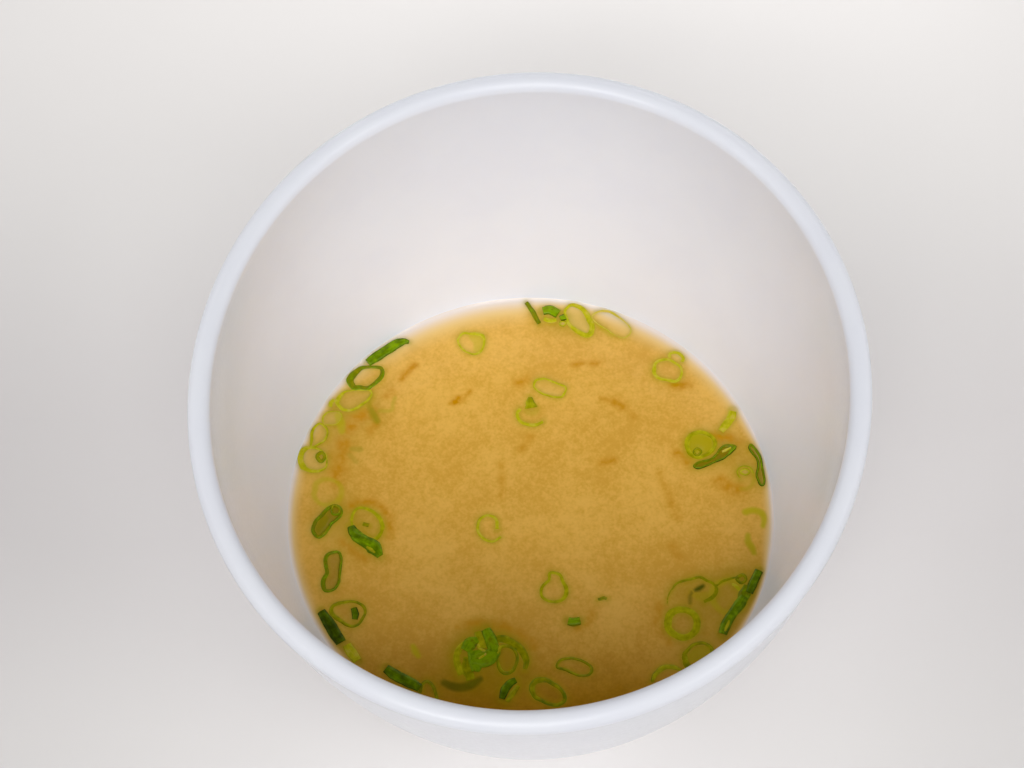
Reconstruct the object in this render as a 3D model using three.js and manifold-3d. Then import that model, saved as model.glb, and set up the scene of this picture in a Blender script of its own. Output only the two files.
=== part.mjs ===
// Miso soup with sliced scallions in a deep white bowl.
// Millimetres, +Z up. The origin is on the table, under the middle of the foot.
// The bowl and the soup are turned on one axis; the bowl's rim is a little out of round.
// Small slices of scallion are raised on the soup, and the large ones are solids set into it.
import * as THREE from 'three'
import { mergeVertices } from 'three/addons/utils/BufferGeometryUtils.js'
import Module from 'manifold-3d'

const wasm = await Module()
wasm.setup()

// Bowl
const RIM_RADIUS = 63 // middling radius at the widest line of the lip
const RIM_LEVEL = 83.1 // height of that line
const LIP_WIDTH = 4.2 // thickness of the round lip
const WALL = 2.7
const FLOOR_LEVEL = 5.5
const WALL_SLOPE = 0.34 // outward run of the inner wall for each step up, at the soup's level
const FOOT_RADIUS = 27
const FOOT_WIDTH = 3.6
const FOOT_EDGE = 0.6 // bevel on both edges of the foot
const OVAL = 0.035 // share by which the rim is longer than round
const OVAL_TURN = THREE.MathUtils.degToRad(79)
const BOWL_SIDES = 60
const BEND_STEPS = 6
const WALL_STEPS = 5
const LIP_STEPS = 8

// Soup
const SOUP_LEVEL = 26
const SOUP_RADIUS = 46.9 // where the surface meets the wall
const MENISCUS_RISE = 0.5
const MENISCUS_RUN = 1.5
const SOUP_SIDES = 56
const GAP = 0.3 // clearance between neighbouring solids

// Scallions
const SLICE_TOP = 0.4 // height of a small slice above the soup
const PIECE_TOP = 0.8 // height of a large piece above the soup
const PIECE_DEPTH = 0.7 // depth of a large piece below the soup's surface
const RING_STATIONS = 12
const STRIP_STATIONS = 5
const BAND_SIDES = 6

// The inner wall below the soup's level is one arc, from the floor up to the slope of the wall
const wallAngle = Math.atan(WALL_SLOPE)
const bendRadius = (SOUP_LEVEL - FLOOR_LEVEL) / (1 - Math.sin(wallAngle))
const floorRadius = SOUP_RADIUS - bendRadius * Math.cos(wallAngle)
const lipRadius = LIP_WIDTH / 2
const wallHeight = RIM_LEVEL - SOUP_LEVEL
const innerRimRadius = RIM_RADIUS - LIP_WIDTH

// Small slices. at: middle, long and short: outside size, turn: degrees from +X, band: width of flesh.
// pear narrows one end, bend curves the slice, and open leaves out the stretch between two angles.
const SLICES = [
  // along the far edge
  { at: [4.3, 44.0], long: 3.6, short: 2.4, turn: 0, band: 1.1 },
  { at: [6.8, 42.5], long: 3.2, short: 1.5, turn: 100, band: 0.6 },
  { at: [9.9, 42.3], long: 7.0, short: 4.5, turn: -48, band: 0.9 },
  { at: [16.3, 41.4], long: 8.0, short: 3.0, turn: -22, band: 0.6 },
  { at: [-11.5, 37.6], long: 5.8, short: 4.9, turn: -30, band: 0.7 },
  // left, from the far side to the near side
  { at: [-34.5, 25.2], long: 7.4, short: 4.8, turn: 18, band: 0.9 },
  { at: [-38.2, 20.9], long: 5.0, short: 3.8, turn: 20, band: 0.7 },
  { at: [-41.0, 18.0], long: 4.8, short: 3.4, turn: 72, band: 0.5 },
  { at: [-42.2, 12.9], long: 5.4, short: 4.9, turn: 80, band: 0.6 },
  { at: [-41.0, 13.0], long: 2.1, short: 1.9, turn: 0, band: 0.6 },
  { at: [-31.9, -0.9], long: 6.8, short: 5.9, turn: -35, band: 1.3 },
  { at: [-35.2, -19.7], long: 6.2, short: 4.6, turn: -12, band: 0.5, pear: 0.25 },
  // in the middle
  { at: [4.2, 27.3], long: 6.6, short: 3.3, turn: -20, band: 0.7 },
  { at: [-0.2, 21.6], long: 5.6, short: 4.4, turn: -10, band: 0.8, open: [0, 290] },
  { at: [-7.7, -2.7], long: 5.6, short: 5.2, turn: 90, band: 0.6, open: [-40, 240] },
  { at: [4.1, -15.0], long: 5.7, short: 5.2, turn: -92, band: 0.8, pear: 0.3 },
  // right, from the far side to the near side
  { at: [27.5, 30.9], long: 6.2, short: 5.3, turn: -10, band: 0.8 },
  { at: [29.7, 33.3], long: 3.2, short: 2.3, turn: -35, band: 0.6 },
  { at: [33.0, 14.6], long: 6.0, short: 5.4, turn: 0, band: 1.2 },
  { at: [33.0, 13.8], long: 2.6, short: 2.2, turn: 0, band: 0.7 },
  { at: [41.9, 8.6], long: 3.6, short: 3.0, turn: 0, band: 0.6 },
  { at: [30.8, -16.2], long: 8.6, short: 5.8, turn: 14, band: 0.7, open: [-20, 200] },
  { at: [28.0, -22.8], long: 7.0, short: 5.8, turn: 0, band: 1.3 },
  { at: [38.3, -16.0], long: 5.0, short: 4.0, turn: 40, band: 0.7, open: [20, 190] },
  // along the near edge
  { at: [-20.4, -36.3], long: 5.0, short: 4.0, turn: 60, band: 0.7 },
  { at: [-4.6, -36.2], long: 5.2, short: 2.2, turn: 60, band: 0.8 },
  { at: [2.6, -36.4], long: 7.2, short: 4.6, turn: -27, band: 0.8 },
  { at: [7.6, -31.2], long: 7.0, short: 3.5, turn: -12, band: 0.6 },
  { at: [25.0, -34.0], long: 5.6, short: 4.6, turn: 30, band: 0.7 },
  { at: [31.2, -29.6], long: 6.2, short: 4.8, turn: 20, band: 0.9 }
]

// Small scraps and sticks: from one end to the other, and width
const SCRAPS = [
  { from: [0.1, 45.9], to: [2.5, 41.8], width: 0.9 },
  { from: [38.0, 17.2], to: [40.2, 20.9], width: 1.6 },
  { from: [-1.0, 24.0], to: [1.6, 24.0], width: 2.0 },
  { from: [-33.9, -18.9], to: [-33.6, -21.0], width: 1.2 },
  { from: [-35.1, -26.7], to: [-33.6, -28.9], width: 1.9 },
  { from: [6.9, -22.1], to: [9.0, -22.0], width: 1.6 },
  { from: [12.5, -17.2], to: [14.3, -17.8], width: 0.8 },
  { from: [31.4, -16.0], to: [32.9, -15.4], width: 0.9 }
]

// Large pieces, each with its middle line and width
const STRIPS = {
  strip_far_left: { line: [[-31.3, 33.3], [-28.2, 35.8], [-24.6, 37.9]], width: 1.4 },
  strip_left: { line: [[-40.2, -19.4], [-38.5, -22.6], [-36.7, -25.8]], width: 2.0 },
  strip_near_left: { line: [[-28.9, -31.1], [-25.8, -33.0], [-22.4, -35.2]], width: 1.5 },
  strip_right: { line: [[43.8, -12.5], [42.8, -14.6], [41.4, -16.8]], width: 1.3 },
  strip_near_right: { line: [[40.8, -18.0], [38.8, -21.0], [36.8, -23.2], [36.1, -25.0]], width: 1.6 },
  twist_right: { line: [[31.9, 9.8], [34.2, 10.4], [36.2, 11.4], [38.0, 13.0], [39.8, 13.9]], width: 1.5 },
  leaf_left: { line: [[-34.6, -2.4], [-32.4, -4.2], [-30.4, -6.9]], width: 2.3 }
}

// Large slices, as SLICES above
const LOOPS = {
  ring_far_left: { at: [-32.4, 29.5], long: 7.6, short: 4.6, turn: 28, band: 0.8 },
  fold_left: { at: [-39.6, -0.6], long: 7.2, short: 2.6, turn: 48, band: 0.8 },
  ring_left: { at: [-38.5, -11.0], long: 8.5, short: 3.3, turn: 83, band: 0.8, bend: 0.5 },
  fold_right: { at: [44.4, 10.0], long: 8.6, short: 1.9, turn: -75, band: 0.7, bend: 0.4 }
}

// The clump near the front: short slices side by side, and a ring that joins them
const CLUMP_BARS = [
  { line: [[-13.4, -27.2], [-12.4, -26.0], [-9.4, -25.2]], width: 2.2, top: 1.3 },
  { line: [[-9.4, -24.2], [-8.0, -24.8], [-6.8, -27.4]], width: 2.0, top: 1.5 },
  { line: [[-12.6, -29.6], [-10.0, -28.9], [-6.4, -27.6]], width: 2.2, top: 1.2 },
  { line: [[-13.6, -30.2], [-13.9, -28.6], [-12.8, -26.6]], width: 1.6, top: 0.6 },
  { line: [[-10.6, -25.0], [-10.3, -28.0], [-11.2, -31.4]], width: 2.2, top: 0.8 }
]
const CLUMP_RING = { at: [-4.6, -29.3], long: 7.2, short: 5.8, turn: 100, band: 1.3 }

// Removes the doubled vertices and the faces without area, and makes a solid
function toSolid(geometry) {
  const bare = new THREE.BufferGeometry()
  bare.setAttribute('position', geometry.getAttribute('position'))
  bare.setIndex(geometry.getIndex())
  const merged = mergeVertices(bare, 1e-4)
  const index = merged.getIndex().array
  const faces = []
  for (let i = 0; i < index.length; i += 3) {
    const [a, b, c] = [index[i], index[i + 1], index[i + 2]]
    if (a !== b && b !== c && c !== a) faces.push(a, b, c)
  }
  const vertProperties = new Float32Array(merged.getAttribute('position').array)
  return new wasm.Manifold(new wasm.Mesh({ numProp: 3, vertProperties, triVerts: new Uint32Array(faces) }))
}

function toGeometry(solid) {
  const mesh = solid.getMesh()
  const geometry = new THREE.BufferGeometry()
  geometry.setAttribute('position', new THREE.BufferAttribute(new Float32Array(mesh.vertProperties), 3))
  geometry.setIndex(new THREE.BufferAttribute(new Uint32Array(mesh.triVerts), 1))
  geometry.computeVertexNormals()
  return geometry
}

// Turns a profile of radius and height round the axis, which comes to stand along +Z
function turned(profile, sides) {
  const geometry = new THREE.LatheGeometry(profile, sides)
  geometry.rotateX(Math.PI / 2)
  return geometry
}

// The wall's inner face from the middle of the floor to the lip, moved out through the wall by `depth`
function wallFace(depth) {
  const bend = new THREE.Path()
  bend.absarc(floorRadius, FLOOR_LEVEL + bendRadius, bendRadius, -Math.PI / 2, -wallAngle, false)
  const wall = new THREE.QuadraticBezierCurve(
    new THREE.Vector2(SOUP_RADIUS, SOUP_LEVEL),
    new THREE.Vector2(SOUP_RADIUS + WALL_SLOPE * wallHeight / 2, SOUP_LEVEL + wallHeight / 2),
    new THREE.Vector2(innerRimRadius, RIM_LEVEL)
  )
  const points = []
  const add = (curve, t) => {
    const point = curve.getPoint(t)
    const along = curve.getTangent(t)
    points.push(new THREE.Vector2(point.x + along.y * depth, point.y - along.x * depth))
  }
  for (let i = 0; i < BEND_STEPS; i++) add(bend, i / BEND_STEPS)
  for (let i = 0; i <= WALL_STEPS; i++) add(wall, i / WALL_STEPS)
  return points
}

// Pulls the upper wall out of round, from nothing at the soup's level to the full share at the lip
function makeOval(geometry) {
  const position = geometry.getAttribute('position')
  for (let i = 0; i < position.count; i++) {
    const [x, y] = [position.getX(i), position.getY(i)]
    const rise = THREE.MathUtils.clamp((position.getZ(i) - SOUP_LEVEL) / wallHeight, 0, 1)
    const pull = 1 + OVAL * rise * rise * Math.cos(2 * (Math.atan2(y, x) - OVAL_TURN))
    position.setXY(i, x * pull, y * pull)
  }
  return geometry
}

function bowl() {
  const inside = wallFace(0)
  const isClear = (point) => point.x > FOOT_RADIUS && point.y < RIM_LEVEL - LIP_WIDTH
  const outside = wallFace(WALL).filter(isClear)
  const lip = new THREE.Path()
  lip.absarc(RIM_RADIUS - lipRadius, RIM_LEVEL, lipRadius, -Math.PI / 3, Math.PI, false)
  const footTop = FLOOR_LEVEL - WALL
  const footInside = FOOT_RADIUS - FOOT_WIDTH
  const profile = [
    new THREE.Vector2(0, footTop),
    new THREE.Vector2(footInside, footTop),
    new THREE.Vector2(footInside, FOOT_EDGE),
    new THREE.Vector2(footInside + FOOT_EDGE, 0),
    new THREE.Vector2(FOOT_RADIUS - FOOT_EDGE, 0),
    new THREE.Vector2(FOOT_RADIUS, FOOT_EDGE),
    new THREE.Vector2(FOOT_RADIUS, footTop),
    ...outside,
    ...lip.getPoints(LIP_STEPS),
    ...inside.slice(0, -1).reverse(),
    new THREE.Vector2(0, FLOOR_LEVEL)
  ]
  return makeOval(turned(profile, BOWL_SIDES))
}

function soupBody() {
  const under = wallFace(-GAP).filter((point) => point.y < SOUP_LEVEL)
  const edge = SOUP_RADIUS - GAP
  const brim = new THREE.QuadraticBezierCurve(
    new THREE.Vector2(edge, SOUP_LEVEL + MENISCUS_RISE),
    new THREE.Vector2(edge - MENISCUS_RUN / 3, SOUP_LEVEL),
    new THREE.Vector2(edge - MENISCUS_RUN, SOUP_LEVEL)
  )
  const profile = [
    new THREE.Vector2(0, FLOOR_LEVEL + GAP),
    ...under,
    ...brim.getPoints(3),
    new THREE.Vector2(0, SOUP_LEVEL)
  ]
  return toSolid(turned(profile, SOUP_SIDES))
}

// The middle line of a slice
function slicePath({ at, long, short, turn, band, pear = 0, bend = 0, open }) {
  const [from, to] = open ?? [0, 360]
  const stations = open ? RING_STATIONS - 2 : RING_STATIONS
  const heading = THREE.MathUtils.degToRad(turn)
  const points = []
  for (let i = 0; i < stations; i++) {
    const angle = THREE.MathUtils.degToRad(from + (to - from) * i / (open ? stations - 1 : stations))
    const along = (long - band) / 2 * Math.cos(angle)
    const across = (short - band) / 2 * Math.sin(angle) * (1 - pear * Math.cos(angle))
    const bow = bend * (1 - 2 * Math.abs(Math.cos(angle)))
    points.push(new THREE.Vector2(along, across + bow).rotateAround(new THREE.Vector2(), heading))
  }
  return points.map((point) => point.add(new THREE.Vector2(...at)))
}

// The middle line of a strip, evenly spaced on a smooth curve
function stripPath(line) {
  const curve = new THREE.SplineCurve(line.map((point) => new THREE.Vector2(...point)))
  return curve.getSpacedPoints(STRIP_STATIONS - 1)
}

// A soft-edged band along a level path. It reaches from `low` to `high`, counted from the soup's
// surface; `grow` makes it larger all round, for the space that a piece needs in the soup.
function band(path, closed, width, low, high, grow = 0) {
  const count = path.length
  const before = (i) => path[closed ? (i + count - 1) % count : Math.max(i - 1, 0)]
  const after = (i) => path[closed ? (i + 1) % count : Math.min(i + 1, count - 1)]
  const middle = SOUP_LEVEL + (low + high) / 2
  const [halfWidth, halfHeight] = [width / 2 + grow, (high - low) / 2 + grow]
  const vertices = []
  path.forEach((point, i) => {
    const along = after(i).clone().sub(before(i)).normalize()
    const end = closed ? 0 : i === 0 ? -grow : i === count - 1 ? grow : 0
    for (let k = 0; k < BAND_SIDES; k++) {
      const angle = 2 * Math.PI * k / BAND_SIDES
      const side = halfWidth * Math.cos(angle)
      const x = point.x + along.x * end + along.y * side
      const y = point.y + along.y * end - along.x * side
      vertices.push(x, y, middle + halfHeight * Math.sin(angle))
    }
  })
  const faces = []
  const last = closed ? count : count - 1
  for (let i = 0; i < last; i++) {
    const next = (i + 1) % count
    for (let k = 0; k < BAND_SIDES; k++) {
      const [a, b] = [i * BAND_SIDES + k, i * BAND_SIDES + (k + 1) % BAND_SIDES]
      const [c, d] = [next * BAND_SIDES + k, next * BAND_SIDES + (k + 1) % BAND_SIDES]
      faces.push(a, d, b, a, c, d)
    }
  }
  if (!closed) {
    const end = last * BAND_SIDES
    for (let k = 1; k < BAND_SIDES - 1; k++) faces.push(0, k, k + 1, end, end + k + 1, end + k)
  }
  const geometry = new THREE.BufferGeometry()
  geometry.setAttribute('position', new THREE.Float32BufferAttribute(vertices, 3))
  geometry.setIndex(faces)
  return toSolid(geometry)
}

const slice = (spec, low, high, grow) => band(slicePath(spec), !spec.open, spec.band, low, high, grow)
const strip = (spec, low, high, grow) => band(stripPath(spec.line), false, spec.width, low, high, grow)
const scrap = (spec) => strip({ line: [spec.from, spec.to], width: spec.width }, -SLICE_TOP, SLICE_TOP)
const joined = (solids) => solids.reduce((whole, part) => whole.add(part))

function clump(grow = 0) {
  const bars = CLUMP_BARS.map((bar) => strip(bar, -PIECE_DEPTH, bar.top, grow))
  return joined([...bars, slice(CLUMP_RING, -PIECE_DEPTH, PIECE_TOP, grow)])
}

// Every large piece, by name, or the space that it needs in the soup
function pieces(grow = 0) {
  const made = { scallion_clump: clump(grow) }
  for (const [name, spec] of Object.entries(STRIPS)) made[name] = strip(spec, -PIECE_DEPTH, PIECE_TOP, grow)
  for (const [name, spec] of Object.entries(LOOPS)) made[name] = slice(spec, -PIECE_DEPTH, PIECE_TOP, grow)
  return made
}

function soup() {
  const slices = SLICES.map((spec) => slice(spec, -SLICE_TOP, SLICE_TOP))
  const raised = joined([soupBody(), ...slices, ...SCRAPS.map(scrap)])
  return raised.subtract(joined(Object.values(pieces(GAP))))
}

const bowlWhite = new THREE.MeshStandardMaterial({ color: 0xe6e3e3, roughness: 0.3, metalness: 0 })
const soupBrown = new THREE.MeshStandardMaterial({ color: 0xc08a38, roughness: 0.2, metalness: 0 })
const scallionGreen = new THREE.MeshStandardMaterial({ color: 0x4f7d17, roughness: 0.35, metalness: 0 })

function named(name, geometry, material) {
  const mesh = new THREE.Mesh(geometry, material)
  mesh.name = name
  return mesh
}

const misoSoup = new THREE.Group()
misoSoup.add(named('bowl', toGeometry(toSolid(bowl())), bowlWhite))
misoSoup.add(named('soup', toGeometry(soup()), soupBrown))
for (const [name, solid] of Object.entries(pieces())) {
  misoSoup.add(named(name, toGeometry(solid), scallionGreen))
}

export default misoSoup
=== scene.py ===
"""Miso soup with sliced scallions in a deep white bowl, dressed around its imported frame.

+Z is up, +Y points away from the person who eats, and the origin is on the table under the middle of the
foot. Blender works in metres. The classes hold their sizes in millimetres, and MM turns those into metres.
The bowl is a turned profile, the soup a closed body up to its surface, and every scallion slice is a band
of flesh swept along its own path, which one Geometry Nodes tree makes.
"""
import logging
import math
from collections.abc import Iterable, Sequence
from dataclasses import dataclass, field
from enum import Enum

import bpy
import numpy as np
from mathutils import Matrix, Vector

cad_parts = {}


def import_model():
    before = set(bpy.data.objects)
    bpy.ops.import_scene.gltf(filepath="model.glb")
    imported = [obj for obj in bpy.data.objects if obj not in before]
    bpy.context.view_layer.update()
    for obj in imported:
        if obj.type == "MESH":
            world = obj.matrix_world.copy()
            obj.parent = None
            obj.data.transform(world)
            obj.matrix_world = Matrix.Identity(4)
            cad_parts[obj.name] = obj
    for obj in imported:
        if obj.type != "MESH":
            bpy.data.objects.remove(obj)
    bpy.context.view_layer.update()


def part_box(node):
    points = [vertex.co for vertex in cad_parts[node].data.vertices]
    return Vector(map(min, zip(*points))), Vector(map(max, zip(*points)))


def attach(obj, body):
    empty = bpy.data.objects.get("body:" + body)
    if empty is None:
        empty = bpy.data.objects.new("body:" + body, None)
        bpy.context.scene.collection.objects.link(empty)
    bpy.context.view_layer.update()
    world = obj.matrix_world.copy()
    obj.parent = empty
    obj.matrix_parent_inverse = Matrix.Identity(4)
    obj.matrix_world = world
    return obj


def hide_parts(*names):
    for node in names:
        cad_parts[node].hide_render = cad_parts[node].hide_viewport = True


MM = 0.001
BODY = "root"
LOG = logging.getLogger("miso_soup")
# The soup's surface is divided into this many sectors
SECTORS = 6
# How far over the soup's level a point of the wall may stand and still be the soup's, in millimetres
LEVEL_SLACK = 0.01

Point = tuple[float, float]
Line = tuple[Point, ...]
Widths = tuple[float, ...]
Span = tuple[float, float]
Triple = tuple[float, float, float]
Colour = tuple[float, float, float, float]
Array = np.ndarray
Object = bpy.types.Object
Socket = bpy.types.NodeSocket
Value = float | int | bool | Colour | Sequence[float] | Socket
Inputs = dict[str | int, Value]


def shade(red: int, green: int, blue: int) -> Colour:
    """Turns a screen colour into the linear colour that shaders work with.

    Args:
        red: The red part, 0 to 255.
        green: The green part, 0 to 255.
        blue: The blue part, 0 to 255.

    Returns:
        The linear colour with full alpha.
    """
    parts = [part / 255 for part in (red, green, blue)]
    linear = [p / 12.92 if p <= 0.04045 else ((p + 0.055) / 1.055) ** 2.4 for p in parts]
    return (linear[0], linear[1], linear[2], 1.0)


def heading(degrees: float) -> Array:
    """Returns the level unit vector that points that many degrees from +X."""
    return np.array([math.cos(math.radians(degrees)), math.sin(math.radians(degrees))])


class Graph:
    """A node tree, with short ways to add its nodes and join them."""

    def __init__(self, tree: bpy.types.NodeTree) -> None:
        """Wraps a node tree."""
        self.tree = tree

    def give(self, node: bpy.types.Node, inputs: Inputs) -> None:
        """Joins another node's output to each named or numbered input, or sets the input to a value."""
        for key, value in inputs.items():
            if isinstance(value, Socket):
                self.tree.links.new(value, node.inputs[key])
            else:
                node.inputs[key].default_value = value

    def add(self, kind: str, inputs: Inputs | None = None, **settings: object) -> bpy.types.Node:
        """Adds a node.

        Args:
            kind: The node's type, such as ShaderNodeMix.
            inputs: A value or another node's output for each named or numbered input.
            **settings: The node's own options.

        Returns:
            The new node.
        """
        node = self.tree.nodes.new(kind)
        for name, value in settings.items():
            setattr(node, name, value)
        self.give(node, inputs or {})
        return node

    def maths(self, operation: str, *values: Value, clamp: bool = False) -> Socket:
        """Returns the result of one sum on numbers or outputs."""
        node = self.add("ShaderNodeMath", dict(enumerate(values)), operation=operation, use_clamp=clamp)
        return node.outputs[0]

    def vector_maths(self, operation: str, inputs: Inputs) -> Socket:
        """Returns the result of one sum on vectors."""
        return self.add("ShaderNodeVectorMath", inputs, operation=operation).outputs[0]

    def span(self, value: Value, low: float, high: float, start: float = 0.0, end: float = 1.0) -> Socket:
        """Returns value eased from start to end while it goes from low to high."""
        inputs = {"Value": value, "From Min": low, "From Max": high, "To Min": start, "To Max": end}
        return self.add("ShaderNodeMapRange", inputs, interpolation_type="SMOOTHSTEP").outputs["Result"]

    def mix(self, share: Value, first: Value, second: Value) -> Socket:
        """Returns the blend of two colours by share."""
        return self.add("ShaderNodeMix", {0: share, 6: first, 7: second}, data_type="RGBA").outputs[2]

    def blend(self, share: Value, first: Value, second: Value) -> Socket:
        """Returns the blend of two numbers by share."""
        return self.add("ShaderNodeMix", {0: share, 2: first, 3: second}, data_type="FLOAT").outputs[0]

    def noise(self, where: Value, grain: float, detail: float = 2.0) -> Socket:
        """Returns noise from 0 to 1 whose lumps measure about grain metres."""
        inputs = {"Vector": where, "Scale": 1 / grain, "Detail": detail}
        return self.add("ShaderNodeTexNoise", inputs).outputs["Fac"]

    def bump(self, height: Value, distance: float) -> Socket:
        """Returns the surface's direction when height, from 0 to 1, raises it by up to distance metres."""
        inputs = {"Height": height, "Distance": distance, "Strength": 1.0}
        return self.add("ShaderNodeBump", inputs).outputs["Normal"]

    def attribute(self, name: str) -> Socket:
        """Returns a mesh attribute as a number, for a shader."""
        return self.add("ShaderNodeAttribute", attribute_name=name).outputs["Fac"]

    def vector(self, x: Value = 0.0, y: Value = 0.0, z: Value = 0.0) -> Socket:
        """Returns the vector of three numbers."""
        return self.add("ShaderNodeCombineXYZ", {0: x, 1: y, 2: z}).outputs[0]

    def part(self, vector: Value, axis: str) -> Socket:
        """Returns one number of a vector: X, Y or Z."""
        return self.add("ShaderNodeSeparateXYZ", {0: vector}).outputs[axis]

    def position(self) -> Socket:
        """Returns the position of the point that a geometry node works on."""
        return self.add("GeometryNodeInputPosition").outputs[0]

    def read(self, name: str) -> Socket:
        """Returns a named number of the point that a geometry node works on."""
        inputs = {"Name": name}
        return self.add("GeometryNodeInputNamedAttribute", inputs, data_type="FLOAT").outputs["Attribute"]

    def store(self, geometry: Socket, name: str, value: Socket) -> Socket:
        """Returns the geometry with a named number stored on its points."""
        inputs = {"Geometry": geometry, "Name": name, "Value": value}
        options = {"data_type": "FLOAT", "domain": "POINT"}
        return self.add("GeometryNodeStoreNamedAttribute", inputs, **options).outputs[0]

    def close(self, mesh: Socket, material: Socket) -> None:
        """Ends a geometry tree with its mesh, which is shaded smooth, made real and given its material."""
        smooth = self.add("GeometryNodeSetShadeSmooth", {0: mesh}).outputs[0]
        real = self.add("GeometryNodeRealizeInstances", {0: smooth}).outputs[0]
        dressed = self.add("GeometryNodeSetMaterial", {"Geometry": real, "Material": material}).outputs[0]
        self.add("NodeGroupOutput", {0: dressed})


def new_material(name: str) -> tuple[bpy.types.Material, Graph, bpy.types.Node]:
    """Makes a material with a Principled shader.

    Args:
        name: The material's name.

    Returns:
        The material, its node graph and its shader.
    """
    material = bpy.data.materials.new(name)
    material.use_nodes = True
    graph = Graph(material.node_tree)
    return material, graph, material.node_tree.nodes["Principled BSDF"]


def object_place(graph: Graph) -> Socket:
    """Returns the point's place in its object, in metres, for a shader."""
    return graph.add("ShaderNodeTexCoord").outputs["Object"]


def new_tree(name: str, inputs: dict[str, str]) -> tuple[Graph, bpy.types.bpy_prop_collection]:
    """Makes a Geometry Nodes tree that ends in one geometry.

    Args:
        name: The tree's name.
        inputs: The kind of each named input, such as Float.

    Returns:
        The tree's graph and the outputs of its input node.
    """
    tree = bpy.data.node_groups.new(name, "GeometryNodeTree")
    for label, kind in inputs.items():
        tree.interface.new_socket(label, in_out="INPUT", socket_type="NodeSocket" + kind)
    tree.interface.new_socket("Mesh", in_out="OUTPUT", socket_type="NodeSocketGeometry")
    graph = Graph(tree)
    return graph, graph.add("NodeGroupInput").outputs


@dataclass(frozen=True)
class GlazeFinish:
    """The bowl's glossy white, a little uneven in gloss and as smooth as moulded ware is."""

    white: Colour = shade(246, 248, 255)
    shadow_white: Colour = shade(244, 246, 254)
    roughness: float = 0.2
    shine: float = 0.24
    gloss_change: float = 0.08
    wave: float = 14.0
    wave_span: Span = (0.35, 0.65)
    wave_height: float = 0.003
    speck: float = 0.9

    def material(self) -> bpy.types.Material:
        """Returns the bowl's material."""
        material, graph, shader = new_material("bowl_white")
        place = object_place(graph)
        clouds = graph.noise(place, self.wave * MM, 3.0)
        specks = graph.noise(place, self.speck * MM)
        inputs = {
            "Base Color": graph.mix(graph.span(clouds, *self.wave_span), self.white, self.shadow_white),
            "Roughness": graph.maths("MULTIPLY_ADD", specks, self.gloss_change, self.roughness),
            "Specular IOR Level": self.shine,
            "Normal": graph.bump(clouds, self.wave_height * MM),
        }
        graph.give(shader, inputs)
        return material


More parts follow.
